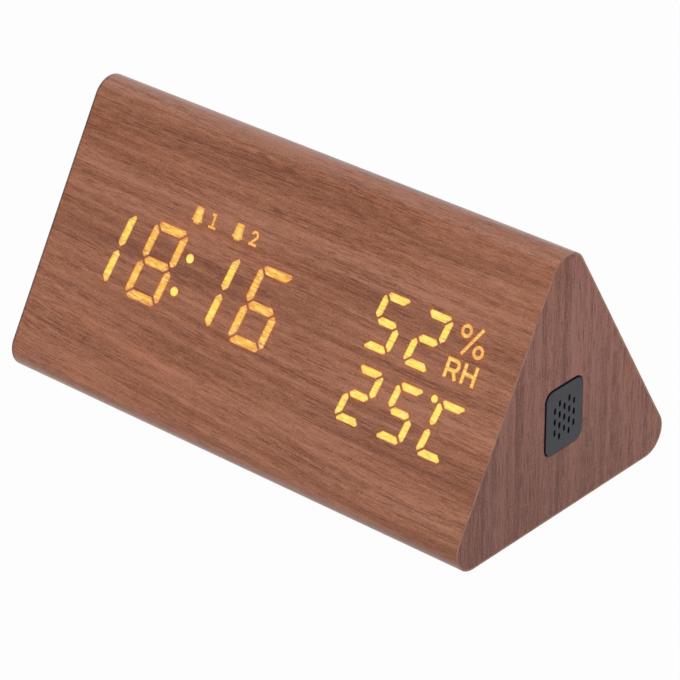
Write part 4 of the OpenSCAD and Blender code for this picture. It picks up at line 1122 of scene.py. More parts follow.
class Hole:
    """A hole in a sheet, with its box for quick tests."""

    def __init__(self, outline: Outline) -> None:
        """Keeps the outline, its edges and its box.

        Args:
            outline: The hole's outline.
        """
        self.outline = outline
        self.edges = [(outline[i - 1], outline[i]) for i in range(len(outline))]
        self.low, self.high = (tuple(limit(ways) for ways in zip(*outline)) for limit in (min, max))

    def near(self, point: Point, reach: float) -> bool:
        """Tells whether a point lies within a reach of the hole's box."""
        return all(self.low[i] - reach < point[i] < self.high[i] + reach for i in (0, 1))

    def covers(self, point: Point) -> bool:
        """Tells whether a point lies in the hole."""
        return self.near(point, 0.0) and contains(self.outline, point)

    def distance(self, point: Point, reach: float) -> float:
        """Distance from a point to the hole's edge, up to a reach."""
        return min(distance_to(point, self.edges), reach) if self.near(point, reach) else reach

    def ring(self, reach: float, step: float, crowding: float = 0.6, slack: float = 0.95) -> list[Point]:
        """Spreads points round the hole.

        Args:
            reach: Their distance from the hole.
            step: How far they lie apart, about.
            crowding: Least share of the step between two of them.
            slack: Least share of the reach that they keep from the hole's edge.

        Returns:
            The points.
        """
        spots: list[Point] = []
        for start, end in self.edges:
            run = Vector(end) - Vector(start)
            side = Vector((-run.y, run.x)).normalized() * reach
            count = max(round(run.length / step), 1)
            for i in range(count):
                middle = Vector(start) + run * ((i + 0.5) / count)
                for spot in (middle + side, middle - side):
                    far = all((spot - Vector(other)).length > crowding * step for other in spots)
                    if far and not self.covers(spot) and distance_to(spot, self.edges) > slack * reach:
                        spots.append(tuple(spot))
        return spots


# Body


class Face(Enum):
    """Faces of the body, by how many thirds of the section lie before them from the base's front end."""

    BACK = 1
    FRONT = 2
    BASE = 3


@dataclass(frozen=True)
class Body:
    """Sizes of the triangular body, in millimetres and degrees, as in the part's source."""

    length: float = 150.0
    face_width: float = 89.0
    edge_radius: float = 6.3
    film: float = 0.5
    foot_height: float = 1.0
    seam_y: float = 32.0
    seam_gap: float = 0.06
    face_turn: float = 60.0

    @property
    def inradius(self) -> float:
        """Distance from the section's middle to each face."""
        return self.face_width / (2 * math.sqrt(3))

    @property
    def straight(self) -> float:
        """Flat width of each face between its rounded edges."""
        return self.face_width - 2 * math.sqrt(3) * self.edge_radius

    @property
    def third(self) -> float:
        """Length of one face with one rounded edge, along the section."""
        return self.straight + self.edge_radius * 2 * math.pi / 3

    @property
    def start(self) -> float:
        """Way along the section from the base's front end to the film's seam."""
        return self.straight / 2 + self.seam_y

    @property
    def sheet_ends(self) -> Point:
        """Places on the unrolled film of its two ends at the seam."""
        return self.seam_gap / 2, 3 * self.third - self.seam_gap / 2

    def on_sheet(self, face: Face, away: float) -> float:
        """Place on the unrolled film of a distance from a face's middle, along the section."""
        return face.value * self.third + self.straight / 2 + away - self.start

    def front_matrix(self) -> Matrix:
        """Places the front face.

        Returns:
            What turns the face's own directions, in millimetres, into the frame, in metres.
        """
        y, z = self.face_width / 4, self.foot_height + self.face_width * math.sqrt(3) / 4
        turn = Matrix.Rotation(math.radians(self.face_turn), 4, "X")
        return Matrix.Translation((0, -y * MM, z * MM)) @ turn @ Matrix.Scale(MM, 4)


def link(mesh: bpy.types.Mesh, name: str) -> bpy.types.Object:
    """Adds an object to the scene.

    Args:
        mesh: Its mesh.
        name: Its name.

    Returns:
        The object.
    """
    made = bpy.data.objects.new(name, mesh)
    bpy.context.scene.collection.objects.link(made)
    return made


def plain_mesh(made: bmesh.types.BMesh, name: str) -> bpy.types.Mesh:
    """Turns an edited mesh into a plain one.

    Args:
        made: The edited mesh, which is freed.
        name: Name of the plain one.

    Returns:
        The plain mesh.
    """
    mesh = bpy.data.meshes.new(name)
    made.to_mesh(mesh)
    made.free()
    return mesh


def sharpen(mesh: bpy.types.Mesh, degrees: float = 32.0) -> None:
    """Shades a mesh smooth, apart from edges sharper than an angle."""
    mesh.polygons.foreach_set("use_smooth", [True] * len(mesh.polygons))
    mesh.set_sharp_from_angle(angle=math.radians(degrees))


def settle(obj: bpy.types.Object, body: str, replaces: Sequence[str]) -> None:
    """Puts a finished piece in place.

    Args:
        obj: The piece.
        body: The body that it rides on.
        replaces: The CAD nodes that it stands for.
    """
    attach(obj, body)
    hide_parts(*replaces)
    log.info("%s: %d faces, for %s", obj.name, len(obj.data.polygons), ", ".join(replaces))


class Recipe:
    """A Geometry Nodes tree with named inputs, used once on an object."""

    def __init__(self, name: str, sizes: dict[str, float]) -> None:
        """Starts the tree with a geometry input and one number for each size.

        Args:
            name: The tree's name.
            sizes: The numbers, by name.
        """
        self.tree = bpy.data.node_groups.new(name, "GeometryNodeTree")
        for side in ("INPUT", "OUTPUT"):
            self.tree.interface.new_socket("Geometry", in_out=side, socket_type="NodeSocketGeometry")
        self.sizes = sizes
        self.sockets: dict[str, str] = {}
        for size in sizes:
            made = self.tree.interface.new_socket(size, in_out="INPUT", socket_type="NodeSocketFloat")
            self.sockets[size] = made.identifier
        self.graph = Graph(self.tree)
        self.start = self.graph.node("NodeGroupInput")

    def given(self, name: str) -> Value:
        """One of the named inputs, or the geometry that the modifier is on."""
        return Value(self.graph, self.start.outputs[name])

    def finish(self, result: Value, materials: Sequence[tuple[Value | bool, bpy.types.Material]]) -> None:
        """Ends the tree.

        Args:
            result: The geometry to hand out.
            materials: Selections and the materials they get, in order.
        """
        result = self.graph.value("GeometryNodeRealizeInstances", None, {"Geometry": result})
        for chosen, material in materials:
            inputs = {"Geometry": result, "Selection": chosen, "Material": material}
            result = self.graph.value("GeometryNodeSetMaterial", None, inputs)
        self.graph.node("NodeGroupOutput", None, {"Geometry": result})

    def make(self, mesh: bpy.types.Mesh, name: str) -> bpy.types.Object:
        """Runs the tree on a mesh.

        Args:
            mesh: The mesh to start from.
            name: Name of the finished object.

        Returns:
            An object with the result as a plain mesh.
        """
        made = link(mesh, name)
        modifier = made.modifiers.new(name, "NODES")
        modifier.node_group = self.tree
        for size, value in self.sizes.items():
            modifier[self.sockets[size]] = float(value)
        result = made.evaluated_get(bpy.context.evaluated_depsgraph_get())
        made.data = bpy.data.meshes.new_from_object(result)
        made.modifiers.remove(modifier)
        made.data.name = name
        return made


@dataclass
class LitMark:
    """One separate lit shape of a mark: its outlines, guide lines and how its light runs."""

    outlines: list[Outline]
    guides: list[list[Point]]
    reach: float
    kind: Mark = Mark.SIGN
    middle: Point = (0.0, 0.0)
    axis: Point = (0.0, 0.0)

    @classmethod
    def of_strokes(cls, lines: Sequence[tuple[Point, Point]], width: float) -> "LitMark":
        """Makes a lit shape of straight strokes.

        Args:
            lines: Ends of each stroke.
            width: Width of the strokes.

        Returns:
            The shape, with a guide along the middle of each stroke.
        """
        guides = []
        for start, end in lines:
            trim = (Vector(end) - Vector(start)).normalized() * width / 2
            guides.append([tuple(Vector(start) + trim), tuple(Vector(end) - trim)])
        return cls([stroke(start, end, width) for start, end in lines], guides, width / 2)

    def covers(self, point: Point) -> bool:
        """Tells whether a point lies in the shape."""
        return any(contains(outline, point) for outline in self.outlines)

    def moved(self, by: Point, kind: Mark) -> "LitMark":
        """The same shape at another place, with a kind of light."""
        outlines, guides = ([shifted(line, by) for line in group] for group in (self.outlines, self.guides))
        return LitMark(outlines, guides, self.reach, kind)

    def along(self, point: Point) -> float:
        """Place along the shape's axis, from -1 to 1, or 0 where it has none."""
        return (Vector(point) - Vector(self.middle)).dot(Vector(self.axis))


@dataclass
class Display:
    """Lit digits and signs on the front face, in millimetres and degrees as in the part's source."""

    body: Body
    time: Point = (-29.06, -0.97)
    time_pitch: float = 17.88
    time_size: Triple = (9.44 / 2, 18.75 / 2, 2.3)
    colon_dot: float = 2.5
    colon_span: float = 9.2
    climate_pitch: float = 12.87
    climate_size: Triple = (6.84 / 2, 12.76 / 2, 1.95)
    humidity: Point = (34.98, 7.88)
    temperature: Point = (34.1, -10.85)
    degree: Triple = (-4.8, 6.55, 2.0)
    alarm: Point = (-30.2, 14.5)
    alarm_pitch: float = 13.75
    numeral_step: float = 5.2
    bell: Point = (3.5, 4.4)
    bell_half: tuple[Point, ...] = (
        (0.22, -0.5), (0.29, -0.44), (0.29, -0.36), (0.5, -0.36), (0.5, -0.28),
        (0.42, -0.14), (0.37, 0.15), (0.34, 0.44), (0.29, 0.5),
    )
    bell_stem: Point = (-0.3, 0.35)
    bell_glow: float = 0.26
    bell_corner: float = 0.15
    bell_steps: int = 3
    numeral: tuple[float, float, float, float] = (2.5, 3.9, 0.72, 0.95)
    numeral_turn: Point = (-35.0, 170.0)
    numeral_trim: float = 10.0
    dot_core: float = 0.5
    dot_steps: int = 12
    ring_steps: int = 16
    percent: Point = (59.9, 11.7)
    percent_ring: Triple = (2.5, 1.9, 3.4)
    percent_slash: Point = (4.1, 7.4)
    percent_stroke: float = 0.92
    letters: Point = (59.55, 4.0)
    letters_pitch: float = 5.1
    letter: Triple = (3.24, 5.1, 1.0)
    letter_bowl: float = 0.24
    slant: float = 8.8
    gap: float = 0.55
    corner_share: float = 0.22
    glow_share: float = 0.3
    resin_floor: float = -4.8
    corner_radius: float = 0.42
    marks: dict[str, list[LitMark]] = field(default_factory=dict)

    def __post_init__(self) -> None:
        """Lays out every lit mark under the name of its CAD node."""
        marks, hot, deep, even = self.marks, Mark.HOT, Mark.DEEP, Mark.EVEN
        (x, v), pitch, size = self.time, self.time_pitch, self.time_size
        marks["hour_tens"] = self.digit((x - 1.5 * pitch, v), size, "bc", hot)
        marks["hour_units"] = self.digit((x - 0.5 * pitch, v), size, "abcdefg", deep)
        marks["time_colon"] = self.colon()
        marks["minute_tens"] = self.digit((x + 0.5 * pitch, v), size, "bc", hot)
        marks["minute_units"] = self.digit((x + 1.5 * pitch, v), size, "acdefg", deep)
        for name, (x, v), letters in (
            ("humidity", self.humidity, ("acdfg", "abdeg")),
            ("temperature", self.temperature, ("abdeg", "acdfg", "adef")),
        ):
            for i, (place, lit) in enumerate(zip(("tens", "units", "sign"), letters, strict=False)):
                spot = (x + i * self.climate_pitch, v)
                marks[f"{name}_{place}"] = self.digit(spot, self.climate_size, lit, even)
        (x, v), (dx, dv, across) = self.temperature, self.degree
        marks["temperature_sign"].append(self.dot((x + 2 * self.climate_pitch + dx, v + dv), across / 2))
        marks["alarm_one"] = self.alarm_icon(0, self.numeral_one())
        marks["alarm_two"] = self.alarm_icon(1, self.numeral_two())
        marks["humidity_sign"] = self.humidity_sign()

    @property
    def lean(self) -> float:
        """Step to the right for each step up."""
        return math.tan(math.radians(self.slant))

    def segment(self, letter: str, size: Triple) -> Outline:
        """Upright outline of one segment of a digit.

        Args:
            letter: The segment's usual letter, a to g.
            size: Half the digit's width and height, to its segments' middles, and their width.

        Returns:
            The outline about the digit's middle.
        """
        side, top, thick = size
        half = thick / 2
        keep = self.corner_share * thick
        miter = self.gap / math.sqrt(2)
        inner = side - half - miter
        if letter == "g":
            return mirrored([(inner, -half), (side - miter, 0.0), (inner, half)])
        flip_x = 1 if letter in "abcd" else -1
        flip_y = 1 if letter in "abf" else -1
        if letter in "ad":
            tip = (side + (keep - miter) / 2, top + (keep + miter) / 2)
            outline = mirrored([(inner, top - half), tip, (side + keep - half, top + half)])
        else:
            outline = [
                (side + half, top + keep - half),
                (side + (keep + miter) / 2, top + (keep - miter) / 2),
                (side - half, top - half - miter),
                (side - half, half + miter),
                (side, miter),
                (side + half, half + miter),
            ]
        return [(flip_x * x, flip_y * y) for x, y in outline]

    def digit(self, place: Point, size: Triple, letters: str, kind: Mark) -> list[LitMark]:
        """Makes the lit segments of a digit.

        Args:
            place: Middle of the digit.
            size: The digit's sizes, as for segment().
            letters: The lit segments' letters.
            kind: How the light spreads.

        Returns:
            One shape for each segment, with guides inside it and an axis along it.
        """
        marks = []
        depth = self.glow_share * size[2]
        for letter in letters:
            leaning = [(x + self.lean * y, y) for x, y in self.segment(letter, size)]
            sharp = shifted(leaning, place)
            guides = [closed(inset(sharp, depth)), closed(inset(sharp, depth / 2))]
            middle = sum((Vector(p) for p in sharp), Vector((0, 0))) / len(sharp)
            way = Vector((1.0, 0.0) if letter in "adg" else (self.lean, 1.0)).normalized()
            axis = way / max((Vector(p) - middle).dot(way) for p in sharp)
            outline = rounded(sharp, self.corner_radius)
            marks.append(LitMark([outline], guides, depth, kind, tuple(middle), tuple(axis)))
        return marks

    def dot(self, centre: Point, radius: float) -> LitMark:
        """Makes a lit disc.

        Args:
            centre: Its middle.
            radius: Its radius.

        Returns:
            The disc, with a ring as its guide.
        """
        core = self.dot_core * radius
        ring = closed(circle(centre, core, self.dot_steps))
        return LitMark([circle(centre, radius, 2 * self.dot_steps)], [ring], core, Mark.EVEN)

    def colon(self) -> list[LitMark]:
        """Makes the colon between hours and minutes.

        Returns:
            Its two dots.
        """
        steps = (-self.colon_span / 2, self.colon_span / 2)
        places = ((self.time[0] + self.lean * step, self.time[1] + step) for step in steps)
        return [self.dot(place, self.colon_dot / 2) for place in places]

    def alarm_icon(self, index: int, numeral: LitMark) -> list[LitMark]:
        """Makes a bell and its numeral.

        Args:
            index: Number of the alarm, from 0.
            numeral: The numeral about its middle.

        Returns:
            The two shapes in place.
        """
        x, v = self.alarm[0] + index * self.alarm_pitch, self.alarm[1]
        width, height = self.bell
        half = [(across * width, up * height) for across, up in self.bell_half]
        bell = rounded(shifted(mirrored(half), (x, v)), self.bell_corner, self.bell_steps)
        stem = shifted([(0.0, share * height) for share in self.bell_stem], (x, v))
        icon = LitMark([bell], [stem], self.bell_glow * width, Mark.WARM)
        return [icon, numeral.moved((x + self.numeral_step, v), Mark.SIGN)]

    def numeral_foot(self) -> tuple[Point, Point]:
        """Ends of the foot stroke of the numerals."""
        width, height, thick, _ = self.numeral
        return (-width / 2, thick / 2 - height / 2), (width / 2, thick / 2 - height / 2)

    def numeral_one(self) -> LitMark:
        """Draws the numeral 1.

        Returns:
            The numeral about its middle.
        """
        _, height, thick, flag = self.numeral
        head = height / 2 - thick / 2
        stem, top = ((0.0, -head), (0.0, height / 2)), ((-flag, head), (0.0, head))
        return LitMark.of_strokes((stem, top, self.numeral_foot()), thick)

    def numeral_two(self) -> LitMark:
        """Draws the numeral 2.

        Returns:
            The numeral about its middle.
        """
        width, height, thick, _ = self.numeral
        radius = (width - thick) / 2
        bowl = (0.0, height / 2 - thick / 2 - radius)
        foot = self.numeral_foot()
        first, last = self.numeral_turn
        leave = arc(bowl, radius, first, last)[0]
        made = LitMark.of_strokes(((leave, (foot[0][0] + thick / 2, foot[0][1])), foot), thick)
        made.outlines.append(arc_stroke(bowl, radius, thick, first, last))
        made.guides.append(arc(bowl, radius, first + self.numeral_trim, last - self.numeral_trim))
        return made

    def humidity_sign(self) -> list[LitMark]:
        """Makes the percent sign and the two letters under it.

        Returns:
            The sign's two rings and its slash, then the letters.
        """
        (x, v), (dx, dv, across), (run, rise) = self.percent, self.percent_ring, self.percent_slash
        width, steps = self.percent_stroke, self.ring_steps
        radius = across / 2 - width / 2
        marks = []
        for side in (-1, 1):
            centre = (x + side * dx, v - side * dv)
            halves = [arc_stroke(centre, radius, width, turn, turn + 180, steps) for turn in (0, 180)]
            marks.append(LitMark(halves, [arc(centre, radius, 0, 360, 2 * steps)], width / 2))
        slash = ((x - run / 2, v - rise / 2), (x + run / 2, v + rise / 2))
        marks.append(LitMark.of_strokes((slash,), width))
        for side, made in ((-1, self.letter_r()), (1, self.letter_h())):
            place = (self.letters[0] + side * self.letters_pitch / 2, self.letters[1])
            marks.append(made.moved(place, Mark.WARM))
        return marks

    def letter_r(self) -> LitMark:
        """Draws the letter R.

        Returns:
            The letter about its middle.
        """
        width, height, thick = self.letter
        half, top = width / 2, height / 2 - thick / 2
        radius = self.letter_bowl * height
        bowl = (half - radius, top - radius)
        bar = top - 2 * radius
        stem, leg = ((-half, -height / 2), (-half, height / 2)), ((bowl[0], bar), (half, -height / 2))
        arms = [((-half, y), (bowl[0], y)) for y in (top, bar)]
        made = LitMark.of_strokes((stem, *arms, leg), thick)
        made.outlines.append(arc_stroke(bowl, radius, thick, -90, 90))
        made.guides.append(arc(bowl, radius, -90, 90))
        return made

    def letter_h(self) -> LitMark:
        """Draws the letter H.

        Returns:
            The letter about its middle.
        """
        width, height, thick = self.letter
        half, head = width / 2, height / 2
        uprights = [((side * half, -head), (side * half, head)) for side in (-1, 1)]
        return LitMark.of_strokes((*uprights, ((-half, 0.0), (half, 0.0))), thick)

    def mesh(self, name: str, marks: Sequence[LitMark]) -> bpy.types.Mesh:
        """Resin prisms from the film's face down to the light chips.

        Args:
            name: Name of the mesh.
            marks: The shapes.

        Returns:
            A mesh with one map for the light and one for the film's grain.
        """
        made = bmesh.new()
        light = made.loops.layers.uv.new(GLOW_MAP)
        sheet = made.loops.layers.uv.new(SHEET_MAP)
        maps: dict[bmesh.types.BMVert, tuple[Point, Point]] = {}
        matrix = self.body.front_matrix()
        kinds = list(dict.fromkeys(mark.kind for mark in marks))
        for mark in marks:
            shape = Shape.cut(mark.guides, mark.outlines, mark.covers)
            shares = shape.edge_shares(mark.reach)
            layers = []
            for depth in (0.0, self.resin_floor):
                layer = {}
                for i in shape.used():
                    x, v = shape.points[i]
                    layer[i] = made.verts.new(matrix @ Vector((x, v, depth)))
                    flat = (x * MM, self.body.on_sheet(Face.FRONT, -v) * MM)
                    maps[layer[i]] = ((mark.along((x, v)), shares[i]), flat)
                layers.append(layer)
            flats, walls = shape.solid(made, *layers)
            for face in flats + walls:
                face.material_index = kinds.index(mark.kind)
        for face in made.faces:
            for loop in face.loops:
                loop[light].uv, loop[sheet].uv = maps[loop.vert]
        mesh = plain_mesh(made, name)
        for kind in kinds:
            mesh.materials.append(GLOWS[kind].material())
        return mesh

    def build(self) -> None:
        """Builds one piece for each lit node and puts it in place."""
        for node, marks in self.marks.items():
            mesh = self.mesh(f"{node}_light", marks)
            settle(link(mesh, f"{node}_light"), ROOT_BODY, [node])


@dataclass
class FilmSleeve:
    """The wood film: a flat sheet with its openings, wrapped round the body."""

    body: Body
    display: Display
    arc_steps: int = 24
    support: float = 0.2
    button_opening: float = 4.3
    opening_steps: int = 48
    jack: Triple = (JACK_X, JACK_UP, 4.0)
    flange: Triple = (65.6, 60.2, 3.1)
    halo_reach: float = 0.95
    halo_step: float = 0.7
    halo_slack: float = 0.8

    def openings(self) -> list[Outline]:
        """Draws the openings for the buttons, the socket and the battery tray.

        Returns:
            Their outlines on the sheet.
        """
        rounds = [(i * BUTTON_PITCH, BUTTON_UP, self.button_opening) for i in (-1, 0, 1)]
        holes = [
            circle((x, self.body.on_sheet(Face.BACK, v)), radius, self.opening_steps)
            for x, v, radius in (*rounds, self.jack)
        ]
        return [*holes, rounded_rectangle((0.0, self.body.on_sheet(Face.BASE, 0.0)), *self.flange)]

    def halo_spots(self, windows: Sequence[Hole]) -> list[Point]:
        """Spreads points round the lit windows.

        Args:
            windows: The windows.

        Returns:
            Points half way through each window's painted glow halo and at its end.
        """
        spots: list[Point] = []
        for hole in windows:
            others = [window for window in windows if window is not hole]
            for reach in (self.halo_reach * 0.5, self.halo_reach):
                for spot in hole.ring(reach, self.halo_step):
                    if all(other.distance(spot, reach) > self.halo_slack * reach for other in others):
                        spots.append(spot)
        return spots

    def fold_lines(self) -> list[list[Point]]:
        """Finds where the sheet bends.

        Returns:
            Lines along the sheet in each bend, and one on each side of it to hold the flats flat.
        """
        body = self.body
        run = body.third - body.straight
        ways = []
        for third in range(4):
            bend = third * body.third + body.straight - body.start
            ways += [bend + run * i / self.arc_steps for i in range(self.arc_steps + 1)]
            ways += [bend - self.support, bend + run + self.support]
        low, high = body.sheet_ends
        half = body.length / 2
        return [[(-half, s), (half, s)] for s in sorted(ways) if low < s < high]

    def flat_mesh(self) -> bpy.types.Mesh:
        """Makes the sheet laid flat.

        Returns:
            The sheet with its thickness, its grain map, the weights of its painted glow halo and a mark on
            its cut edges.
        """
        body = self.body
        half, (low, high) = body.length / 2, body.sheet_ends
        border = [(-half, low), (half, low), (half, high), (-half, high)]
        holes = self.openings()
        windows = [
            [(x, body.on_sheet(Face.FRONT, -v)) for x, v in outline]
            for marks in self.display.marks.values()
            for mark in marks
            for outline in mark.outlines
        ]
        lit = [Hole(outline) for outline in windows]
        cuts = [*(Hole(outline) for outline in holes), *lit]

        def keep(point: Point) -> bool:
            """Tells whether the film covers a point."""
            return not any(cut.covers(point) for cut in cuts)

        guides = [[spot] for spot in self.halo_spots(lit)]
        shape = Shape.cut([*self.fold_lines(), *guides], [border, *holes, *windows], keep)
        made = bmesh.new()
        sheet = made.loops.layers.uv.new(SHEET_MAP)
        rim = made.faces.layers.float.new(EDGE_LAYER)
        halo = made.verts.layers.float.new(PAINTED_GLOW_LAYER)
        layers = []
        for depth in (0.0, -body.film):
            layer = {}
            for i in shape.used():
                x, s = shape.points[i]
                layer[i] = made.verts.new((x * MM, s * MM, depth * MM))
                # Painted glow weight: 1 at a window's edge, falling to 0 at the halo's reach
                away = min(hole.distance((x, s), self.halo_reach) for hole in lit)
                layer[i][halo] = 1.0 - away / self.halo_reach
            layers.append(layer)
        _, walls = shape.solid(made, *layers)
        for wall in walls:
            wall[rim] = 1.0
        for face in made.faces:
            for loop in face.loops:
                loop[sheet].uv = loop.vert.co.xy
        return plain_mesh(made, "film_sheet")

    def recipe(self) -> Recipe:
        """Makes the rule that wraps a flat sheet round the rounded triangle.

        Returns:
            The rule.
        """
        body = self.body
        sizes = {
            "Inradius": body.inradius * MM,
            "Straight": body.straight * MM,
            "Edge radius": body.edge_radius * MM,
            "Third": body.third * MM,
            "Start": body.start * MM,
            "Middle height": (body.foot_height + body.inradius) * MM,
        }
        made = Recipe("wrap_film", sizes)
        graph = made.graph
        inradius, straight, radius, third, start, middle = (made.given(name) for name in sizes)
        x, s, height = graph.split(graph.value("GeometryNodeInputPosition"))
        turn = ((s + start) / third).call("FLOOR")
        run = s + start - turn * third
        bend = (run - straight).call("MAXIMUM", 0.0) / radius
        reach = radius + height
        across = run.call("MINIMUM", straight) - straight * 0.5 + reach * bend.call("SINE")
        out = radius - inradius - reach * bend.call("COSINE")
        angle = turn * (2 * math.pi / 3)
        cosine, sine = angle.call("COSINE"), angle.call("SINE")
        place = graph.join(x, across * cosine - out * sine, across * sine + out * cosine + middle)
        inputs = {"Geometry": made.given("Geometry"), "Position": place}
        wrapped = graph.value("GeometryNodeSetPosition", None, inputs)
        rim = graph.value("GeometryNodeInputNamedAttribute", {"data_type": "FLOAT"}, {"Name": EDGE_LAYER})
        cut = rim.call("GREATER_THAN", 0.5)
        made.finish(wrapped, [(True, FILM.material()), (cut, FILM_EDGE.material())])
        return made

    def build(self) -> None:
        """Makes the film and puts it in place."""
        made = self.recipe().make(self.flat_mesh(), "film_sleeve")
        sharpen(made.data)
        settle(made, ROOT_BODY, ["wood_film"])


@dataclass
class BaseHardware:
    """Rubber feet and tray screws under the base, with sizes in millimetres and turns in radians."""

    body: Body
    foot_diameter: float = 8.0
    foot_inset: float = 11.0
    foot_span: float = 54.0
    foot_edge: float = 0.35
    foot_turns: tuple[float, ...] = (0.0, 0.5, 1.0, math.pi / 2)
    foot_hollow: tuple[Point, ...] = ((0.0, 0.12), (0.45, 0.12), (0.55, 0.03), (0.62, 0.0))
    screw_places: Point = (29.7, 27.0)
    screw_head: float = 4.6
    screw_rim: float = 0.12
    screw_shank: float = 2.4
    screw_length: float = 5.0
    cross: Triple = (2.2, 0.5, 0.7)
    cross_taper: float = 0.8
    lathe_steps: int = 40
    turn_seed: int = 4

    def lathe(self, profile: Sequence[Point]) -> bmesh.types.BMesh:
        """Turns a profile round the upright axis.

        Args:
            profile: Radius and height of each point, in millimetres.

        Returns:
            The turned mesh.
        """
        made = bmesh.new()
        rings = []
        for radius, height in profile:
            spots = circle((0.0, 0.0), radius, self.lathe_steps) if radius else [(0.0, 0.0)]
            ring = [made.verts.new((x * MM, y * MM, height * MM)) for x, y in spots]
            rings.append(ring if radius else ring * self.lathe_steps)
        for lower, upper in zip(rings, rings[1:], strict=False):
            for i in range(self.lathe_steps):
                around = (lower[i - 1], lower[i], upper[i], upper[i - 1])
                made.faces.new(list(dict.fromkeys(around)))
        return made

    def foot_mesh(self) -> bpy.types.Mesh:
        """Turns a rubber foot.

        Returns:
            A pad with a soft lower edge and a shallow hollow.
        """
        radius, top, edge = self.foot_diameter / 2, self.body.foot_height, self.foot_edge
        profile = [(radius * share, rise) for share, rise in self.foot_hollow]
        for turn in self.foot_turns:
            profile.append((radius - edge + edge * math.sin(turn), edge - edge * math.cos(turn)))
        return self.outwards(self.lathe([*profile, (radius, top), (0.0, top)]), "foot_pad")

    def screw_mesh(self) -> bpy.types.Mesh:
        """Turns a countersunk screw and cuts a cross into its head.

        Returns:
            The screw, head down at height 0.
        """
        head, shank, end = self.screw_head / 2, self.screw_shank / 2, self.screw_length
        profile = [(head, 0.0), (head, self.screw_rim), (shank, head - shank), (shank, end), (0.0, end)]
        made = self.lathe(profile)
        length, width, depth = self.cross
        far, near = length / 2, width / 2
        arms = [(far, -near), (far, near), (near, near), (near, far), (-near, far), (-near, near)]
        cross = arms + [(-x, -y) for x, y in arms]
        disc = circle((0.0, 0.0), head, self.lathe_steps)

        def layer(shape: Shape, share: float, height: float) -> dict[int, bmesh.types.BMVert]:
            """Adds a shape's points, drawn in by a share, at a height."""
            spots = ((i, shape.points[i]) for i in shape.used())
            return {i: made.verts.new((x * share * MM, y * share * MM, height * MM)) for i, (x, y) in spots}

        face = Shape.cut([], [disc, cross], lambda point: not contains(cross, point))
        floor = Shape.cut([], [cross], lambda point: contains(cross, point))
        flat, lip = layer(face, 1.0, 0.0), layer(floor, 1.0, 0.0)
        sunk = layer(floor, self.cross_taper, depth)
        for shape, verts in ((face, flat), (floor, sunk)):
            for triangle in shape.triangles:
                made.faces.new([verts[i] for i in triangle])
        for start, stop in floor.border:
            made.faces.new((lip[start], lip[stop], sunk[stop], sunk[start]))
        bmesh.ops.remove_doubles(made, verts=made.verts, dist=WELD_DISTANCE)
        return self.outwards(made, "tray_screw")

    @staticmethod
    def outwards(made: bmesh.types.BMesh, name: str) -> bpy.types.Mesh:
        """Turns the faces of an edited mesh outwards and shades it.

        Args:
            made: The edited mesh, which is freed.
            name: Name of the finished mesh.

        Returns:
            The finished mesh.
        """
        bmesh.ops.recalc_face_normals(made, faces=made.faces)
        mesh = plain_mesh(made, name)
        sharpen(mesh)
        return mesh

    def repeat(
        self, shape: bpy.types.Mesh, name: str, spread: Point, height: float, turn: float, finish: Finish
    ) -> bpy.types.Object:
        """Repeats a shape at the four corners of a rectangle.

        Args:
            shape: The mesh to repeat.
            name: Name of the finished object.
            spread: Length and width of the rectangle.
            height: Height of the shape's origin.
            turn: Largest turn of each copy about the upright axis.
            finish: The copies' finish.

        Returns:
            The finished object.
        """
        single = link(shape, f"{name}_single")
        sizes = {"Length": spread[0] * MM, "Width": spread[1] * MM, "Height": height * MM, "Turn": turn}
        made = Recipe(f"repeat_{name}", sizes)
        graph = made.graph
        length, width, rise, most = (made.given(size) for size in sizes)
        grid = {"Size X": length, "Size Y": width, "Vertices X": 2, "Vertices Y": 2}
        places = graph.value("GeometryNodeMeshGrid", None, grid)
        shift = {"Geometry": places, "Translation": graph.join(0.0, 0.0, rise)}
        raised = graph.value("GeometryNodeTransform", None, shift)
        copy = graph.value("GeometryNodeObjectInfo", None, {"Object": single}, "Geometry")
        limits = {2: 0.0, 3: most, "Seed": self.turn_seed}
        turned = graph.value("FunctionNodeRandomValue", {"data_type": "FLOAT"}, limits, 1)
        inputs = {"Points": raised, "Instance": copy, "Rotation": graph.join(0.0, 0.0, turned)}
        copies = graph.value("GeometryNodeInstanceOnPoints", None, inputs)
        made.finish(copies, [(True, finish.material())])
        obj = made.make(bpy.data.meshes.new(f"{name}_start"), name)
        bpy.data.objects.remove(single)
        return obj

    def build(self) -> None:
        """Makes the feet and the screws and puts them in place."""
        spread = (self.body.length - 2 * self.foot_inset, self.foot_span)
        feet = self.repeat(self.foot_mesh(), "foot_pads", spread, 0.0, 0.0, RUBBER)
        settle(feet, ROOT_BODY, ["rubber_feet"])
        spread = (2 * self.screw_places[0], 2 * self.screw_places[1])
        height = self.body.foot_height
        screws = self.repeat(self.screw_mesh(), "tray_cross_screws", spread, height, math.pi / 2, STEEL)
        settle(screws, ROOT_BODY, ["tray_screws"])


@dataclass
class CarriedNodes:
    """CAD nodes that keep their shape and only get a finish."""

    nodes: dict[str, bpy.types.Object]

    def build(self) -> None:
        """Gives each node its finish."""
        for finish, names in CARRIED_OVER.items():
            for name in names:
                slots = self.nodes[name].data.materials
                slots.clear()
                slots.append(finish.material())
            log.info("%s: %s", finish.name, ", ".join(names))


# Studio


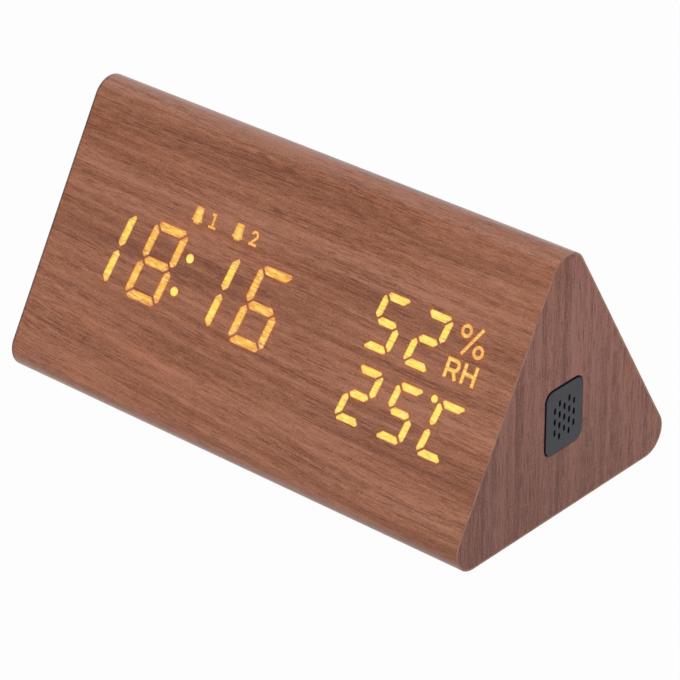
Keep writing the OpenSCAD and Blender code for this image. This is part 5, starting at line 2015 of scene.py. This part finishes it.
@dataclass(frozen=True)
class Lamp:
    """A large soft lamp."""

    name: str
    place: Triple
    size: float
    power: float
    colour: Triple
    aim: Triple = (0.0, 0.0, 0.035)

    def build(self) -> None:
        """Adds the lamp, aimed at the clock."""
        light = bpy.data.lights.new(self.name, "AREA")
        light.shape = "DISK"
        light.size = self.size
        light.energy = self.power
        light.color = self.colour
        made = bpy.data.objects.new(self.name, light)
        made.location = self.place
        aim = Vector(self.aim) - Vector(self.place)
        made.rotation_euler = aim.to_track_quat("-Z", "Y").to_euler()
        bpy.context.scene.collection.objects.link(made)


@dataclass(frozen=True)
class Studio:
    """Camera, lamps, sky and floor."""

    azimuth: float = 41.798
    elevation: float = 29.516
    roll: float = -0.503
    distance: float = 0.866914
    focal_px: float = 3467.62
    aside: Point = (0.002671, -0.013032)
    aim: Triple = (0.0, 0.0, 0.036)
    clip_start: float = 0.01
    sky_level: float = 0.4
    floor_half: float = 3.0
    floor_grey: Colour = (0.4, 0.4, 0.4, 1.0)
    floor_white: float = 0.975
    lamps: tuple[Lamp, ...] = (
        Lamp("key", (-0.1, -1.6, 0.6), 0.9, 14.2, (1.0, 0.99, 0.97)),
        Lamp("side", (0.95, 0.45, 0.3), 1.0, 5.3, (0.96, 0.98, 1.0)),
        Lamp("back", (0.0, 1.6, 0.5), 0.9, 6.0, (0.9, 0.96, 1.0)),
        Lamp("far", (-1.2, 0.3, 0.3), 1.0, 3.0, (0.98, 0.99, 1.0)),
        Lamp("ridge", (-0.58, -0.15, 1.25), 0.6, 2.3, (0.96, 0.98, 1.0)),
    )

    def build(self) -> None:
        """Sets up the whole studio."""
        self.camera()
        for lamp in self.lamps:
            lamp.build()
        self.sky()
        self.floor()
        bpy.context.scene.view_settings.view_transform = "Standard"

    def camera(self) -> None:
        """Adds the camera at the photograph's view."""
        turns = (self.azimuth, self.elevation, self.roll)
        azimuth, elevation, roll = (math.radians(turn) for turn in turns)
        flat = math.cos(elevation)
        back = Vector((math.sin(azimuth) * flat, -math.cos(azimuth) * flat, math.sin(elevation)))
        level = Vector((math.cos(azimuth), math.sin(azimuth), 0.0))
        top = back.cross(level)
        right = level * math.cos(roll) + top * math.sin(roll)
        up = top * math.cos(roll) - level * math.sin(roll)
        place = Vector(self.aim) + back * self.distance + right * self.aside[0] + up * self.aside[1]
        data = bpy.data.cameras.new("camera")
        data.sensor_width = SENSOR_WIDTH
        data.lens = self.focal_px * SENSOR_WIDTH / IMAGE_SIDE
        data.clip_start = self.clip_start
        made = bpy.data.objects.new("camera", data)
        made.matrix_world = Matrix.Translation(place) @ Matrix((right, up, back)).transposed().to_4x4()
        bpy.context.scene.collection.objects.link(made)
        bpy.context.scene.camera = made

    @staticmethod
    def seen(graph: Graph) -> Value:
        """Picks out the rays that show the backdrop itself.

        Args:
            graph: The backdrop's graph.

        Returns:
            1 for a ray from the camera or through a reflection, otherwise 0.
        """
        path = graph.node("ShaderNodeLightPath")
        ways = ("Is Camera Ray", "Is Glossy Ray", "Is Transmission Ray")
        first, second, third = (Value(graph, path.outputs[way]) for way in ways)
        return (first + second + third).clamped()

    def sky(self) -> None:
        """A white backdrop that lights the clock evenly."""
        world = bpy.data.worlds.new("studio")
        graph = Graph.afresh(world)
        soft, bright = (
            graph.value("ShaderNodeBackground", None, {"Color": WHITE, "Strength": level})
            for level in (self.sky_level, 1.0)
        )
        both = graph.value("ShaderNodeMixShader", None, {0: self.seen(graph), 1: soft, 2: bright})
        graph.node("ShaderNodeOutputWorld", None, {"Surface": both})
        bpy.context.scene.world = world

    def floor(self) -> None:
        """A pale floor that keeps a faint shadow."""
        mesh = bpy.data.meshes.new("floor")
        half = self.floor_half
        spots = [(-half, -half, 0.0), (half, -half, 0.0), (half, half, 0.0), (-half, half, 0.0)]
        mesh.from_pydata(spots, [], [(0, 1, 2, 3)])
        made = link(mesh, "floor")
        material = bpy.data.materials.new("floor")
        graph = Graph.afresh(material)
        paper = graph.value("ShaderNodeBsdfDiffuse", None, {"Color": self.floor_grey})
        white = graph.value("ShaderNodeEmission", None, {"Color": WHITE, "Strength": 1.0})
        share = self.seen(graph) * self.floor_white
        both = graph.value("ShaderNodeMixShader", None, {0: share, 1: paper, 2: white})
        graph.node("ShaderNodeOutputMaterial", None, {"Surface": both})
        mesh.materials.append(material)


def main() -> None:
    """Builds the studio and dresses the clock."""
    logging.basicConfig(level=logging.INFO, format="%(name)s: %(message)s")
    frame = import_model()
    Studio().build()
    body = Body()
    display = Display(body)
    for part in (
        CarriedNodes(frame["nodes"]),
        FilmSleeve(body, display),
        display,
        BaseHardware(body),
    ):
        part.build()


if __name__ == "__main__":
    main()
